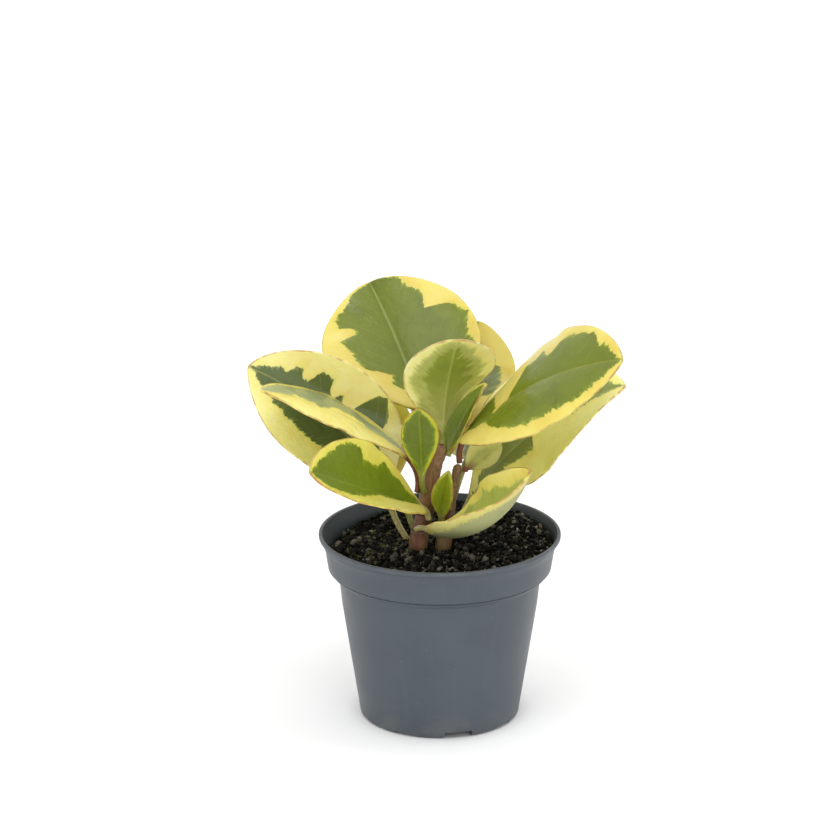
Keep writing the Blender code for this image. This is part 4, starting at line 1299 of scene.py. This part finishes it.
def area_light(name, place, aim, size, power):
    data = bpy.data.lights.new(name, "AREA")
    data.shape = "SQUARE"
    data.size = size
    data.energy = power
    light = bpy.data.objects.new(name, data)
    light.location = place
    light.rotation_euler = (Vector(aim) - Vector(place)).to_track_quat("-Z", "Y").to_euler()
    bpy.context.collection.objects.link(light)


class PEPEROMIA_OT_stage(bpy.types.Operator):
    """Lay the pale floor, hang the soft lights and set the camera"""

    bl_idname = "peperomia.stage"
    bl_label = "Stage"

    def execute(self, context):
        settings = context.scene.peperomia_stage
        bpy.ops.object.select_all(action="DESELECT")
        bpy.ops.mesh.primitive_plane_add(size=60, location=(0, 0, 0))
        floor = context.active_object
        floor.name = "floor"
        floor.data.materials.append(floor_material(settings))

        world = bpy.data.worlds.new("soft_sky")
        world.use_nodes = True
        sky = world.node_tree.nodes["Background"]
        sky.inputs["Color"].default_value = (1.0, 1.0, 1.0, 1.0)
        sky.inputs["Strength"].default_value = settings.sky
        context.scene.world = world
        for name, (place, aim, size) in LIGHTS.items():
            area_light(f"{name}_light", place, aim, size, getattr(settings, name))

        camera_data = bpy.data.cameras.new("camera")
        camera_data.lens = settings.lens
        camera = bpy.data.objects.new("camera", camera_data)
        camera.location = CAMERA_PLACE
        look = Vector(CAMERA_AIM) - Vector(CAMERA_PLACE)
        camera.rotation_euler = look.to_track_quat("-Z", "Y").to_euler()
        context.collection.objects.link(camera)
        context.scene.camera = camera
        context.scene.view_settings.view_transform = "Standard"
        return {"FINISHED"}


# ---- add-on ------------------------------------------------------------------------------------

class PEPEROMIA_PT_panel(bpy.types.Panel):
    """Sizes and colours, and a button for each part"""

    bl_idname = "PEPEROMIA_PT_panel"
    bl_label = "Potted Peperomia"
    bl_space_type = "VIEW_3D"
    bl_region_type = "UI"
    bl_category = "Peperomia"

    def draw(self, context):
        for group, operator in STEPS:
            box = self.layout.box()
            settings = getattr(context.scene, group)
            for name in settings.__annotations__:
                box.prop(settings, name)
            box.operator(operator)


STEPS = (
    ("peperomia_pot", "peperomia.pot"),
    ("peperomia_soil", "peperomia.soil"),
    ("peperomia_stem", "peperomia.stems"),
    ("peperomia_leaf", "peperomia.leaves"),
    ("peperomia_stage", "peperomia.stage"),
)
GROUPS = {
    "peperomia_leaf": PeperomiaLeafSettings,
    "peperomia_stem": PeperomiaStemSettings,
    "peperomia_soil": PeperomiaSoilSettings,
    "peperomia_pot": PeperomiaPotSettings,
    "peperomia_stage": PeperomiaStageSettings,
}
CLASSES = (
    *GROUPS.values(),
    PEPEROMIA_OT_pot,
    PEPEROMIA_OT_soil,
    PEPEROMIA_OT_stems,
    PEPEROMIA_OT_leaves,
    PEPEROMIA_OT_stage,
    PEPEROMIA_PT_panel,
)


def register():
    for item in CLASSES:
        bpy.utils.register_class(item)
    for name, group in GROUPS.items():
        setattr(bpy.types.Scene, name, PointerProperty(type=group))


def unregister():
    for name in GROUPS:
        delattr(bpy.types.Scene, name)
    for item in reversed(CLASSES):
        bpy.utils.unregister_class(item)


def plain(bounds):
    """Bounds as nested lists of numbers."""
    return [[float(value) for value in corner] for corner in bounds]


def main():
    register()
    bpy.ops.peperomia.pot()
    bpy.ops.peperomia.soil()
    bpy.ops.peperomia.stems()
    bpy.ops.peperomia.leaves()
    bpy.ops.peperomia.stage()


if __name__ == "__main__":
    main()
